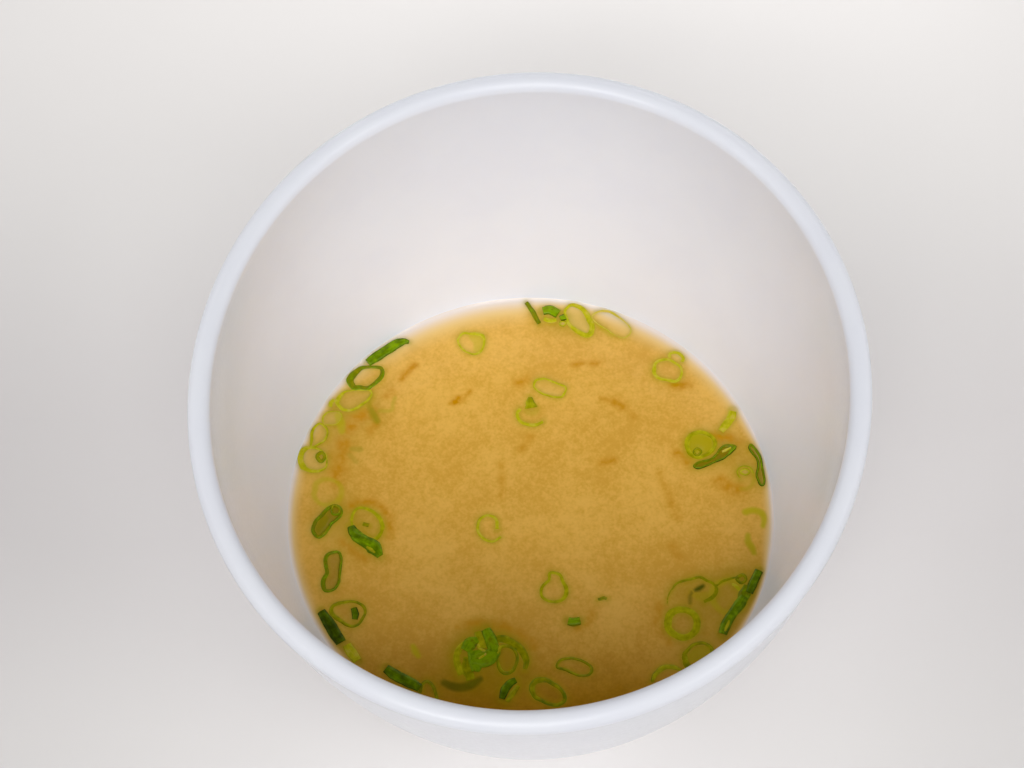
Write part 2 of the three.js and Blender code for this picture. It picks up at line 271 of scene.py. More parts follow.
@dataclass(frozen=True)
class BrothFinish:
    """Cloudy miso broth: fine curd, browner drifts, paler towards the wall, and green over a sunk slice.

    The near tones are painted shade, which darkens the broth towards the near wall. Each span is the range
    of an attribute or a noise over which one colour goes over into another.
    """

    light: Colour = shade(238, 187, 86)
    deep: Colour = shade(220, 167, 64)
    # Painted shade: darker tones for the broth towards the near wall, and the Y over which they come in
    near_light: Colour = shade(195, 142, 29)
    near_shaded_deep: Colour = shade(178, 127, 16)
    near_shade_from: float = -20.0
    near_shade_to: float = -40.0
    drift: Colour = shade(203, 140, 4)
    brim: Colour = shade(243, 231, 222)
    brim_gold: Colour = shade(240, 202, 124)
    film: Colour = shade(230, 200, 112)
    dusk: Colour = shade(122, 102, 0)
    sunk_lime: Colour = shade(194, 178, 18)
    sunk_olive: Colour = shade(146, 136, 0)
    sunk_dark: Colour = shade(70, 86, 0)
    halo_green: Colour = shade(176, 158, 8)
    # A darker gold for the broth round and between floating slices
    slice_dark_gold: Colour = shade(170, 140, 0)
    roughness: float = 0.12
    refraction: float = 1.34
    curd: float = 0.55
    curd_height: float = 0.004
    flock: float = 1.6
    cloud: float = 11.0
    grain_share: float = 0.7
    grain_span: Span = (0.9, 1.5)
    drift_grain: float = 1.5
    drift_span: Span = (0.3, 0.7)
    drift_least: float = 0.5
    gold_span: Span = (0.06, 0.38)
    brim_span: Span = (0.25, 0.9)
    olive_span: Span = (0.22, 0.5)
    dark_span: Span = (0.5, 0.9)

    def body(self, graph: Graph, place: Socket, curd: Socket) -> Socket:
        """Returns the broth's colour, with painted shade that darkens it towards the near wall."""
        flock = graph.noise(place, self.flock * MM, 3.0)
        cloud = graph.noise(place, self.cloud * MM, 4.0)
        lumps = graph.maths("MULTIPLY_ADD", flock, self.grain_share, cloud)
        grain = graph.maths("MULTIPLY_ADD", curd, self.grain_share, lumps)
        # Painted shade: the broth turns to its darker near tones towards the near wall
        near = graph.span(graph.part(place, "Y"), self.near_shade_to * MM, self.near_shade_from * MM, 1.0, 0.0)
        deep = graph.mix(near, self.deep, self.near_shaded_deep)
        light = graph.mix(near, self.light, self.near_light)
        return graph.mix(graph.span(grain, *self.grain_span), deep, light)

    def material(self) -> bpy.types.Material:
        """Returns the soup's material, which reads the attributes that Soup gives its mesh."""
        material, graph, shader = new_material("miso_broth")
        place = object_place(graph)
        curd = graph.noise(place, self.curd * MM, 3.0)
        colour = graph.mix(graph.attribute("slice_dark"), self.body(graph, place, curd), self.slice_dark_gold)
        spots = graph.span(graph.noise(place, self.drift_grain * MM, 4.0), *self.drift_span)
        uneven = graph.maths("ADD", spots, self.drift_least)
        drift = graph.maths("MULTIPLY", graph.attribute("drift"), uneven, clamp=True)
        colour = graph.mix(drift, colour, self.drift)
        film = graph.attribute("film")
        colour = graph.mix(graph.maths("MULTIPLY", film, 1.0, clamp=True), colour, self.film)
        colour = graph.mix(graph.maths("MULTIPLY", film, -1.0, clamp=True), colour, self.dusk)
        brim = graph.attribute("brim")
        colour = graph.mix(graph.span(brim, *self.gold_span), colour, self.brim_gold)
        colour = graph.mix(graph.span(brim, *self.brim_span), colour, self.brim)
        colour = graph.mix(graph.attribute("halo"), colour, self.halo_green)
        tone = graph.attribute("sunk_tone")
        sunk = graph.mix(graph.span(tone, *self.olive_span), self.sunk_lime, self.sunk_olive)
        sunk = graph.mix(graph.span(tone, *self.dark_span), sunk, self.sunk_dark)
        inputs = {
            "Base Color": graph.mix(graph.attribute("sunk"), colour, sunk),
            "Roughness": self.roughness,
            "IOR": self.refraction,
            "Normal": graph.bump(curd, self.curd_height * MM),
        }
        graph.give(shader, inputs)
        return material


@dataclass(frozen=True)
class ScallionFinish:
    """Wet scallion, from straw-coloured flesh over lime to the dark green of the leaf, with fine fibres."""

    straw: Colour = shade(222, 192, 92)
    lime: Colour = shade(196, 188, 22)
    olive: Colour = shade(156, 152, 0)
    moss: Colour = shade(118, 124, 0)
    green: Colour = shade(136, 168, 6)
    leaf: Colour = shade(96, 122, 0)
    dark: Colour = shade(54, 69, 0)
    shine: float = 0.15
    roughness: float = 0.14
    refraction: float = 1.4
    skin_width: float = 0.28
    fibre_scale: Triple = (350.0, 3.0, 2.0)
    fibre_change: float = 0.2
    fibre_height: float = 0.04
    patch: float = 1.3
    patch_change: float = 0.5

    def ramp(self, graph: Graph, tone: Socket) -> Socket:
        """Returns the colour of a tone, 0 for straw and 1 for dark green."""
        node = graph.add("ShaderNodeValToRGB", {0: tone})
        stops = {
            0.0: self.straw,
            0.22: self.lime,
            0.4: self.olive,
            0.53: self.moss,
            0.65: self.green,
            0.8: self.leaf,
            1.0: self.dark,
        }
        elements = node.color_ramp.elements
        for place, colour in stops.items():
            element = elements[0] if place == 0.0 else elements[-1] if place == 1.0 else elements.new(place)
            element.color = colour
        return node.outputs["Color"]

    def skin_share(self, graph: Graph, across: Socket) -> Socket:
        """Returns how much of the skin's tone shows: all at the band's outer edge, none further in."""
        outer = graph.attribute("outer")
        both = graph.maths("LESS_THAN", graph.maths("ABSOLUTE", outer), 0.5)
        one_side = graph.maths("MULTIPLY", across, outer)
        side = graph.blend(both, one_side, graph.maths("ABSOLUTE", across))
        inwards = graph.maths("MULTIPLY", graph.maths("SUBTRACT", 1.0, side), graph.attribute("band"))
        return graph.span(inwards, 0.0, self.skin_width * MM, 1.0, 0.0)

    def material(self) -> bpy.types.Material:
        """Returns the scallions' material, which reads the attributes that the band tree gives its mesh."""
        material, graph, shader = new_material("scallion_flesh")
        across = graph.attribute("across")
        share = self.skin_share(graph, across)
        tone = graph.blend(share, graph.attribute("flesh"), graph.attribute("skin"))
        run = graph.vector(graph.attribute("along"), across, graph.attribute("rise"))
        stretched = graph.add("ShaderNodeMapping", {"Vector": run, "Scale": self.fibre_scale}).outputs[0]
        fibres = graph.noise(stretched, 1.0, 3.0)
        patches = graph.noise(object_place(graph), self.patch * MM, 3.0)
        fine = graph.maths("MULTIPLY_ADD", fibres, self.fibre_change, -self.fibre_change / 2)
        broad = graph.maths("MULTIPLY_ADD", patches, self.patch_change, -self.patch_change / 2)
        toned = graph.maths("ADD", tone, graph.maths("ADD", fine, broad), clamp=True)
        inputs = {
            "Base Color": self.ramp(graph, toned),
            "Roughness": self.roughness,
            "IOR": self.refraction,
            "Specular IOR Level": self.shine,
            "Normal": graph.bump(fibres, self.fibre_height * MM),
        }
        graph.give(shader, inputs)
        return material


@dataclass(frozen=True)
class TableFinish:
    """A pale tabletop with painted shadow: a little greyer in a soft band under the bowl, where its shadow
    falls.
    """

    pale: Colour = shade(212, 209, 207)
    # The band is painted shadow: the bowl's soft shadow on the table beside it
    band: Colour = shade(201, 197, 196)
    shadow_band_at: float = 20.0
    shadow_band_width: float = 75.0
    grain: float = 60.0
    grain_share: float = 0.15
    roughness: float = 0.6

    def material(self) -> bpy.types.Material:
        """Returns the table's material."""
        material, graph, shader = new_material("table_pale")
        place = object_place(graph)
        # Painted shadow: the table greys in a soft band across the bowl's middle
        away = graph.maths("ABSOLUTE", graph.maths("SUBTRACT", graph.part(place, "Y"), self.shadow_band_at * MM))
        band = graph.span(away, 0.0, self.shadow_band_width * MM, 1.0, 0.0)
        share = graph.maths("MULTIPLY_ADD", graph.noise(place, self.grain * MM), self.grain_share, band)
        colour = graph.mix(share, self.pale, self.band)
        graph.give(shader, {"Base Color": colour, "Roughness": self.roughness})
        return material


def mesh_object(name: str, vertices: Array | list, faces: Iterable[Sequence[int]]) -> Object:
    """Makes a smooth mesh object at the origin.

    Args:
        name: The object's name.
        vertices: Its points, in millimetres.
        faces: Its faces, counter-clockwise from outside.

    Returns:
        The linked object.
    """
    mesh = bpy.data.meshes.new(name)
    mesh.from_pydata((np.asarray(vertices) * MM).tolist(), [], list(faces))
    mesh.shade_smooth()
    made = bpy.data.objects.new(name, mesh)
    bpy.context.scene.collection.objects.link(made)
    return made


def run_tree(target: Object, tree: bpy.types.NodeTree, settings: dict[str, Value]) -> None:
    """Puts a Geometry Nodes tree on an object and sets the tree's named inputs by their identifiers."""
    modifier = target.modifiers.new(tree.name, "NODES")
    modifier.node_group = tree
    for item in tree.interface.items_tree:
        if item.name in settings and item.in_out == "INPUT":
            modifier[item.identifier] = settings[item.name]


def evaluated_copy(source: Object, name: str) -> Object:
    """Turns what an object's modifiers make into a plain mesh, and removes the object.

    Args:
        source: The object with its modifiers.
        name: The new object's name.

    Returns:
        The plain object, without modifiers.
    """
    graph = bpy.context.evaluated_depsgraph_get()
    mesh = bpy.data.meshes.new_from_object(source.evaluated_get(graph), depsgraph=graph)
    mesh.name = name
    bpy.data.objects.remove(source)
    made = bpy.data.objects.new(name, mesh)
    bpy.context.scene.collection.objects.link(made)
    return made


def face_outwards(mesh: bpy.types.Mesh) -> None:
    """Turns a closed mesh the right way round if its enclosed volume comes out negative."""
    mesh.calc_loop_triangles()
    corners = np.empty(len(mesh.loop_triangles) * 3, dtype=np.int32)
    mesh.loop_triangles.foreach_get("vertices", corners)
    places = np.empty(len(mesh.vertices) * 3)
    mesh.vertices.foreach_get("co", places)
    a, b, c = np.moveaxis(places.reshape(-1, 3)[corners.reshape(-1, 3)], 1, 0)
    if float((a * np.cross(b, c)).sum()) < 0:
        mesh.flip_normals()


def crease_edges(mesh: bpy.types.Mesh, first: int, end: int) -> None:
    """Marks the edges between the vertices from first up to end as sharp."""
    ends = np.empty(len(mesh.edges) * 2, dtype=np.int32)
    mesh.edges.foreach_get("vertices", ends)
    ends = ends.reshape(-1, 2)
    sharp = ((ends >= first) & (ends < end)).all(axis=1)
    mesh.attributes.new("sharp_edge", "BOOLEAN", "EDGE").data.foreach_set("value", sharp)


@dataclass(frozen=True)
class WallShape:
    """The bowl's inner wall: one arc from the floor to the soup's surface, then a curve up to the lip.

    At the soup's level the wall leans out by `slope` times its height. The upper wall is a little out of
    round, from nothing at that level to the full share `oval` at the lip. The soup climbs the wall by
    `brim_rise`, which fades inwards over `brim_run`.
    """

    rim_level: float
    soup_level: float
    soup_radius: float
    rim_radius: float = 62.97
    lip_width: float = 4.2
    wall: float = 2.7
    floor_level: float = 5.5
    slope: float = 0.34
    oval: float = 0.035
    oval_turn: float = 79.0
    brim_rise: float = 0.5
    brim_run: float = 0.45

    @classmethod
    def from_frame(cls, gap: float = 0.3) -> "WallShape":
        """Reads the levels and the soup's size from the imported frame.

        Args:
            gap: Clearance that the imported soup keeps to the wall.

        Returns:
            The wall's shape.
        """
        bowl_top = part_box("bowl")[1].z / MM
        soup_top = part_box("soup")[1]
        return cls(
            rim_level=bowl_top - cls.lip_width / 2,
            soup_level=soup_top.z / MM - cls.brim_rise,
            soup_radius=soup_top.x / MM + gap,
        )

    @property
    def wall_height(self) -> float:
        """Height of the lip's middle over the soup."""
        return self.rim_level - self.soup_level

    @property
    def brim_radius(self) -> float:
        """Radius at which the soup's raised edge meets the wall."""
        return self.soup_radius + self.slope * self.brim_rise

    def climb(self, radius: Array) -> Array:
        """Returns how far the soup's surface stands over its level at each radius."""
        return self.brim_rise * np.exp(-np.maximum(self.brim_radius - radius, 0) / self.brim_run)

    def face(self, depth: float, bend_steps: int, wall_steps: int) -> list[Point]:
        """Returns the inner face as radius and height, from the middle of the floor to the lip.

        Args:
            depth: How far the line is moved out through the wall.
            bend_steps: Steps on the arc below the soup's level.
            wall_steps: Steps on the curve above it.

        Returns:
            The points, from the floor upwards.
        """
        angle = math.atan(self.slope)
        bend_radius = (self.soup_level - self.floor_level) / (1 - math.sin(angle))
        bend_level = self.floor_level + bend_radius
        flat_radius = self.soup_radius - bend_radius * math.cos(angle)
        reach = bend_radius + depth
        points = []
        for step in range(bend_steps):
            turn = -math.pi / 2 + (math.pi / 2 - angle) * step / bend_steps
            points.append((flat_radius + reach * math.cos(turn), bend_level + reach * math.sin(turn)))
        start = np.array([self.soup_radius, self.soup_level])
        middle = start + np.array([self.slope, 1.0]) * self.wall_height / 2
        end = np.array([self.rim_radius - self.lip_width, self.rim_level])
        for step in range(wall_steps + 1):
            t = step / wall_steps
            place = (1 - t) ** 2 * start + 2 * t * (1 - t) * middle + t * t * end
            along = (1 - t) * (middle - start) + t * (end - middle)
            along /= np.linalg.norm(along)
            points.append((place[0] + along[1] * depth, place[1] - along[0] * depth))
        return points


@dataclass
class Bowl:
    """The deep bowl: a plain foot, a thin wall and a round lip, turned by a Geometry Nodes tree."""

    shape: WallShape
    finish: GlazeFinish = field(default_factory=GlazeFinish)
    sides: int = 256
    bend_steps: int = 20
    wall_steps: int = 28
    lip_steps: int = 28
    lip_from: float = -60.0
    lip_turn: float = 240.0
    foot_radius: float = 27.0
    foot_width: float = 3.6
    foot_edge: float = 0.6
    weld: float = 0.001

    def profile(self) -> list[Point]:
        """Returns the outline as radius and height, from the axis under the foot to the axis inside."""
        shape = self.shape
        inside = shape.face(0, self.bend_steps, self.wall_steps)
        outer_face = shape.face(shape.wall, self.bend_steps, self.wall_steps)
        under_lip = shape.rim_level - shape.lip_width
        outside = [p for p in outer_face if self.foot_radius < p[0] and p[1] < under_lip]
        lip_half = shape.lip_width / 2
        lip_radius = shape.rim_radius - lip_half
        lip = []
        for step in range(self.lip_steps + 1):
            turn = math.radians(self.lip_from + self.lip_turn * step / self.lip_steps)
            lip.append((lip_radius + lip_half * math.cos(turn), shape.rim_level + lip_half * math.sin(turn)))
        foot_top = shape.floor_level - shape.wall
        foot_inside = self.foot_radius - self.foot_width
        foot = [
            (0.0, foot_top),
            (foot_inside, foot_top),
            (foot_inside, self.foot_edge),
            (foot_inside + self.foot_edge, 0.0),
            (self.foot_radius - self.foot_edge, 0.0),
            (self.foot_radius, self.foot_edge),
            (self.foot_radius, foot_top),
        ]
        return foot + outside + lip + inside[-2::-1] + [(0.0, shape.floor_level)]

    def turning_tree(self) -> bpy.types.NodeTree:
        """Returns the tree that turns a profile round the axis and pulls its upper part out of round."""
        ovals = {name: "Float" for name in ("Oval", "Oval Turn", "Oval Start", "Oval Height")}
        inputs = {"Profile": "Geometry", "Sides": "Int", **ovals, "Material": "Material"}
        graph, given = new_tree("turned_bowl", inputs)
        count = graph.add("GeometryNodeAttributeDomainSize", {0: given["Profile"]}).outputs["Point Count"]
        columns = graph.maths("ADD", given["Sides"], 1)
        grid = graph.add("GeometryNodeMeshGrid", {0: 1.0, 1: 1.0, 2: columns, 3: count}).outputs["Mesh"]
        turn = graph.maths("MULTIPLY", graph.maths("ADD", graph.part(graph.position(), "X"), 0.5), math.tau)
        share = graph.maths("ADD", graph.part(graph.position(), "Y"), 0.5)
        row = graph.maths("ROUND", graph.maths("MULTIPLY", share, graph.maths("SUBTRACT", count, 1)))
        source = {"Geometry": given["Profile"], "Value": graph.position(), "Index": row}
        sample = graph.add("GeometryNodeSampleIndex", source, data_type="FLOAT_VECTOR", domain="POINT")
        found = graph.add("ShaderNodeSeparateXYZ", {0: sample.outputs["Value"]}).outputs
        over = graph.maths("SUBTRACT", found["Z"], given["Oval Start"])
        rise = graph.maths("DIVIDE", over, given["Oval Height"], clamp=True)
        apart = graph.maths("SUBTRACT", turn, given["Oval Turn"])
        wave = graph.maths("COSINE", graph.maths("MULTIPLY", apart, 2.0))
        most = graph.maths("MULTIPLY", graph.maths("MULTIPLY", rise, rise), given["Oval"])
        pull = graph.maths("ADD", graph.maths("MULTIPLY", most, wave), 1.0)
        radius = graph.maths("MULTIPLY", found["X"], pull)
        place = graph.vector(
            graph.maths("MULTIPLY", radius, graph.maths("COSINE", turn)),
            graph.maths("MULTIPLY", radius, graph.maths("SINE", turn)),
            found["Z"],
        )
        placed = graph.add("GeometryNodeSetPosition", {"Geometry": grid, "Position": place}).outputs[0]
        weld = {"Geometry": placed, "Distance": self.weld * MM}
        graph.close(graph.add("GeometryNodeMergeByDistance", weld).outputs[0], given["Material"])
        return graph.tree

    def build(self) -> Object:
        """Returns the finished bowl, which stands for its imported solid."""
        shape = self.shape
        points = [(radius, 0.0, height) for radius, height in self.profile()]
        source = mesh_object("bowl_profile", points, [])
        settings = {
            "Sides": self.sides,
            "Oval": shape.oval,
            "Oval Turn": math.radians(shape.oval_turn),
            "Oval Start": shape.soup_level * MM,
            "Oval Height": shape.wall_height * MM,
            "Material": self.finish.material(),
        }
        run_tree(source, self.turning_tree(), settings)
        made = evaluated_copy(source, "white_bowl")
        face_outwards(made.data)
        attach(made, BODY)
        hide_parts("bowl")
        return made


class Tone(float, Enum):
    """Named colours of scallion, on the scale from straw to dark green."""

    PALE = 0.1
    LIME = 0.22
    YELLOW_OLIVE = 0.32
    OLIVE = 0.42
    MOSS = 0.53
    GREEN = 0.65
    LEAF = 0.8
    DARK = 1.0


@dataclass(frozen=True)
class Slice:
    """A slice, strip or leaf of scallion: a band of flesh along a smooth line. Millimetres.

    The `widths` are spread evenly along the line. Tones go from 0, straw, to 1, dark green: `skin` is the
    outer side's and `flesh` the rest's. A closed slice has its skin on the outside, an open one along both
    edges, and an `arc`, which is a ring with a gap, on the right as its line runs. `film` is how much the
    soup inside a closed slice pales, or darkens if it is less than 0. `sunk` is how strongly the slice
    shows from under the surface, where it has no flesh of its own.
    """

    line: Line
    widths: Widths
    closed: bool = False
    arc: bool = False
    skin: float = Tone.OLIVE
    flesh: float = Tone.LIME
    film: float = 0.0
    sunk: float = 0.0
    top: float = 0.35
    stations: int = 48

    def path(self) -> Array:
        """Returns the middle line, evenly divided on a curve through the line's points."""
        return smooth_line(self.line, self.stations, self.closed)

    def half_widths(self) -> Array:
        """Returns half the width at each point of the path."""
        halves = np.array(self.widths) / 2
        if self.closed:
            places = np.arange(len(halves)) / len(halves)
            return np.interp(np.arange(self.stations) / self.stations, places, halves, period=1.0)
        return np.interp(np.linspace(0, 1, self.stations), np.linspace(0, 1, len(halves)), halves)

    @property
    def outer_side(self) -> float:
        """Which side of the path has the skin: 1 for the right, -1 for the left and 0 for both."""
        if self.arc:
            return 1.0
        if not self.closed:
            return 0.0
        x, y = self.path().T
        return math.copysign(1.0, float((x * np.roll(y, -1) - y * np.roll(x, -1)).sum()))


def smooth_line(line: Line, stations: int, closed: bool = False, parts: int = 12) -> Array:
    """Divides a smooth curve through some points into even steps.

    Args:
        line: The points that the curve passes through.
        stations: How many points to return.
        closed: Whether the curve runs on from the last point to the first.
        parts: How many straight parts stand for the curve between two of its points.

    Returns:
        The points on the curve, two numbers each.
    """
    knots = np.array(line, dtype=float)
    if closed:
        padded = np.vstack([knots[-1:], knots, knots[:2]])
    else:
        padded = np.vstack([2 * knots[0] - knots[1], knots, 2 * knots[-1] - knots[-2]])
    t = np.linspace(0, 1, parts, endpoint=False)[:, None]
    pieces = []
    for a, b, c, d in zip(padded, padded[1:], padded[2:], padded[3:]):
        bend = (2 * a - 5 * b + 4 * c - d) * t**2 + (3 * b - a - 3 * c + d) * t**3
        pieces.append(0.5 * (2 * b + (c - a) * t + bend))
    curve = np.vstack([*pieces, padded[-2:-1]])
    length = np.concatenate([[0.0], np.cumsum(np.linalg.norm(np.diff(curve, axis=0), axis=1))])
    even = np.linspace(0, length[-1], stations, endpoint=not closed)
    return np.stack([np.interp(even, length, curve[:, axis]) for axis in (0, 1)], axis=1)


def ring(skin: float, flesh: float, top: float, film: float, widths: Widths, *line: Point) -> Slice:
    """Returns a closed slice, which stands out of the soup by top."""
    return Slice(line, widths, closed=True, skin=skin, flesh=flesh, film=film, top=top)


def strip(skin: float, flesh: float, top: float, widths: Widths, *line: Point) -> Slice:
    """Returns an open slice, which stands out of the soup by top."""
    return Slice(line, widths, skin=skin, flesh=flesh, top=top)


def arc(skin: float, flesh: float, top: float, widths: Widths, *line: Point) -> Slice:
    """Returns a ring with a gap, which stands out of the soup by top."""
    return Slice(line, widths, arc=True, skin=skin, flesh=flesh, top=top)


def sunk_strip(skin: float, sunk: float, widths: Widths, *line: Point) -> Slice:
    """Returns an open slice under the surface."""
    return Slice(line, widths, skin=skin, sunk=sunk)


def sunk_ring(skin: float, sunk: float, widths: Widths, *line: Point) -> Slice:
    """Returns a closed slice under the surface."""
    return Slice(line, widths, closed=True, skin=skin, sunk=sunk)


# Small slices and scraps along the far edge
FAR_SLICES: tuple[Slice, ...] = (
    strip(Tone.MOSS, Tone.MOSS, 0.5, (0.8, 1, 0.8), (-0.1, 46.1), (1, 44.3), (2.4, 41.4)),
    strip(Tone.LEAF, Tone.GREEN, 0.5, (1.8, 2, 2), (3.2, 44.2), (4.6, 44.4), (6.2, 43.5)),
    strip(Tone.LIME, Tone.LIME, 0.15, (1, 1.4, 1), (3.4, 42.5), (4.6, 42), (5.8, 42.2)),
    strip(Tone.DARK, Tone.GREEN, 0.5, (1.2, 1.4), (6.6, 42.4), (7.6, 42.8)),
    ring(Tone.OLIVE, Tone.LIME, 0.2, 0.8, (0.4,), (6.5, 41.3), (7.1, 40.8), (7.7, 41.4), (7.1, 41.9)),
    ring(
        Tone.LIME, Tone.LIME, 0.2, 0.5, (0.6, 0.8, 0.8, 1, 1.2, 1.2, 1.2, 1.2, 1.2, 1, 0.8),
        (7.6, 44.2), (7.8, 42.6), (8.5, 41), (10.1, 39.5), (11.5, 38.7), (12.5, 39), (12.9, 40.5),
        (12.3, 42.3), (11.6, 43.9), (10.4, 45), (8.8, 45.4),
    ),
    ring(
        Tone.LIME, Tone.PALE, 0.1, 0.2, (0.6, 0.5, 0.4, 0.3, 0.2, 0.3, 0.4, 0.5, 0.6, 0.6, 0.6),
        (12.9, 42.5), (14.1, 41.1), (15.7, 39.9), (17.2, 38.7), (19.2, 38), (20.6, 39.3), (20.1, 40.8),
        (18.5, 42.4), (16.8, 43.6), (15, 44), (13.6, 43.6),
    ),
    ring(
        Tone.YELLOW_OLIVE, Tone.LIME, 0.12, 0.1, (0.6, 0.6, 0.5, 0.5, 0.6, 0.6, 0.8, 1, 1, 0.8, 0.7),
        (-13.8, 38.1), (-13.4, 36.8), (-12.4, 35.6), (-11, 34.9), (-9.8, 35.1), (-9, 36), (-8.6, 37.3),
        (-8.8, 38.7), (-9.8, 39.3), (-11.4, 39.4), (-12.8, 39.5),
    ),
)

# Small slices and scraps on the left, from the far side to the near side
LEFT_SLICES: tuple[Slice, ...] = (
    ring(
        Tone.YELLOW_OLIVE, Tone.LIME, 0.15, 0.1, (1.2, 1, 0.8, 0.8, 0.8, 0.6, 0.5, 0.5, 0.4, 0.4, 1),
        (-37.7, 25.1), (-36.9, 23.5), (-35.7, 23), (-34.4, 23.2), (-33, 24.1), (-31.8, 25), (-31, 26.1),
        (-31.2, 27.2), (-32.8, 27.4), (-34.8, 27.3), (-36.4, 26.9),
    ),
    strip(Tone.LIME, Tone.LIME, 0.2, (0.8, 1, 0.8), (-39.1, 23.8), (-38.9, 24.7), (-38.3, 25.3)),
    ring(
        Tone.YELLOW_OLIVE, Tone.LIME, 0.1, 0.3, (0.4, 0.4, 0.6, 0.6, 0.4, 0.4, 0.4, 0.4, 0.4),
        (-37.9, 22.8), (-39.3, 22.7), (-40.2, 22), (-40.5, 21), (-40, 20), (-38.9, 19.9), (-37.7, 20.1),
        (-36.9, 21.2), (-36.9, 22.3),
    ),
    ring(
        Tone.OLIVE, Tone.LIME, 0.15, 0.2, (0.6, 0.6, 0.6, 0.6, 0.6, 0.6, 0.6, 0.8, 0.8, 0.6),
        (-41, 20.2), (-40, 19.5), (-39.5, 18.4), (-39.8, 17.1), (-40.6, 16.2), (-41.7, 15.5),
        (-42.7, 15.2), (-42.6, 16.7), (-42.6, 18.2), (-42, 19.5),
    ),
    ring(
        Tone.YELLOW_OLIVE, Tone.LIME, 0.15, 0.3,
        (0.8, 1.2, 1.4, 1.4, 1.4, 1, 0.8, 0.6, 0.4, 0.3, 0.3, 0.5),
        (-42.7, 15.1), (-43.9, 14.8), (-44.6, 13.8), (-44.8, 12.5), (-44.4, 11.3), (-43.6, 10.5),
        (-42.7, 10.1), (-41.3, 10), (-39.9, 10.7), (-39.6, 12), (-39.8, 13.5), (-41, 14.6),
    ),
    ring(
        Tone.GREEN, Tone.OLIVE, 0.25, -0.2, (0.8, 0.8, 0.7, 0.8),
        (-41.5, 13.1), (-40.7, 12), (-40, 13), (-40.7, 14),
    ),
    ring(
        Tone.OLIVE, Tone.YELLOW_OLIVE, 0.1, -0.05, (0.8, 1, 1.2, 1.4, 1.4, 1.2, 0.8, 0.8, 0.8, 0.8),
        (-33.1, 2.1), (-31.1, 1.6), (-29.4, 0.1), (-28.7, -1.8), (-29.2, -3.7), (-30.5, -4.5),
        (-32.6, -3.4), (-34.4, -1.9), (-34.6, -0.2), (-34.2, 1.3),
    ),
    strip(Tone.MOSS, Tone.OLIVE, 0.2, (0.8, 0.9), (-32.5, -1.3), (-31.3, -1.7)),
    ring(
        Tone.GREEN, Tone.OLIVE, 0.5, 0.6, (0.5, 0.6, 0.6, 0.6, 0.5),
        (-38.3, 2.5), (-37.3, 2.3), (-36.9, 1.5), (-37.5, 0.8), (-38.4, 1.1),
    ),
    ring(
        Tone.MOSS, Tone.OLIVE, 0.2, -0.1, (0.8, 0.8, 0.7, 0.6, 0.6, 0.6, 0.6, 0.6, 0.6, 0.7, 0.8, 1, 1),
        (-38.1, -18.3), (-36.8, -17.7), (-34.8, -17.4), (-33.3, -17.7), (-32.2, -18.6), (-31.9, -19.8),
        (-32.5, -21), (-33.1, -22), (-34.2, -22.5), (-35.4, -22.2), (-36.5, -21.4), (-37.7, -20.5),
        (-38.4, -19.5),
    ),
    strip(Tone.DARK, Tone.LEAF, 0.4, (1.2, 1.5, 1.2), (-34.1, -18.8), (-33.8, -20), (-33.9, -21.1)),
    strip(
        Tone.YELLOW_OLIVE, Tone.LIME, 0.3, (1.8, 2.2, 1.8),
        (-35.4, -26.3), (-34.6, -27.7), (-33.4, -29.5),
    ),
)

# Small slices and scraps in the middle
MIDDLE_SLICES: tuple[Slice, ...] = (
    ring(
        Tone.OLIVE, Tone.LIME, 0.12, 0.2,
        (0.6, 0.7, 0.7, 0.6, 0.6, 0.6, 0.6, 0.6, 0.7, 0.7, 0.6, 0.6, 0.6),
        (1.1, 27.7), (1.5, 28.9), (2.5, 29.2), (3.5, 29.2), (4.7, 28.6), (6.1, 28), (7.2, 27.5),
        (7.4, 26.7), (6.6, 25.3), (5.4, 25.2), (4.1, 25.5), (2.7, 26), (1.7, 26.8),
    ),
    strip(Tone.OLIVE, 0.36, 0.2, (0.8, 2, 2.8), (0.3, 25.3), (0.3, 24.2), (0.5, 22.9)),
    arc(
        Tone.OLIVE, Tone.LIME, 0.12, (1, 1, 1, 1, 1, 0.8),
        (-1.7, 22.7), (-2.3, 21.7), (-1.7, 20.1), (-0.4, 19.4), (1.2, 19.2), (2.8, 19.9),
    ),
    arc(
        Tone.OLIVE, Tone.LIME, 0.12, (1.2, 0.8, 0.8, 0.8, 0.8, 0.8, 0.7, 0.6),
        (-6.5, -2.8), (-6.7, -0.7), (-8.4, 0.1), (-10, -1), (-10.2, -3.1), (-9.1, -4.8), (-7.3, -5.4),
        (-5.8, -4.5),
    ),
    ring(
        Tone.OLIVE, Tone.YELLOW_OLIVE, 0.12, 0.05,
        (0.8, 0.8, 1, 1.1, 1.2, 1.2, 1, 0.8, 0.8, 0.8, 0.8, 0.8, 0.8),
        (3.5, -12.2), (4.7, -12.2), (5.6, -12.8), (6, -14), (6.6, -15.3), (6.5, -16.7), (5.7, -17.7),
        (4.4, -18.1), (2.9, -17.8), (1.9, -16.9), (1.8, -15.6), (2.3, -14.6), (3.3, -13.6),
    ),
    strip(Tone.MOSS, Tone.GREEN, 0.5, (1.6, 1.8, 1.6), (6.8, -22.1), (7.9, -22.3), (9.1, -22.1)),
    strip(Tone.OLIVE, Tone.OLIVE, 0.2, (0.6, 0.8, 0.6), (12.6, -17.8), (13.6, -17.5), (14.3, -17.7)),
)

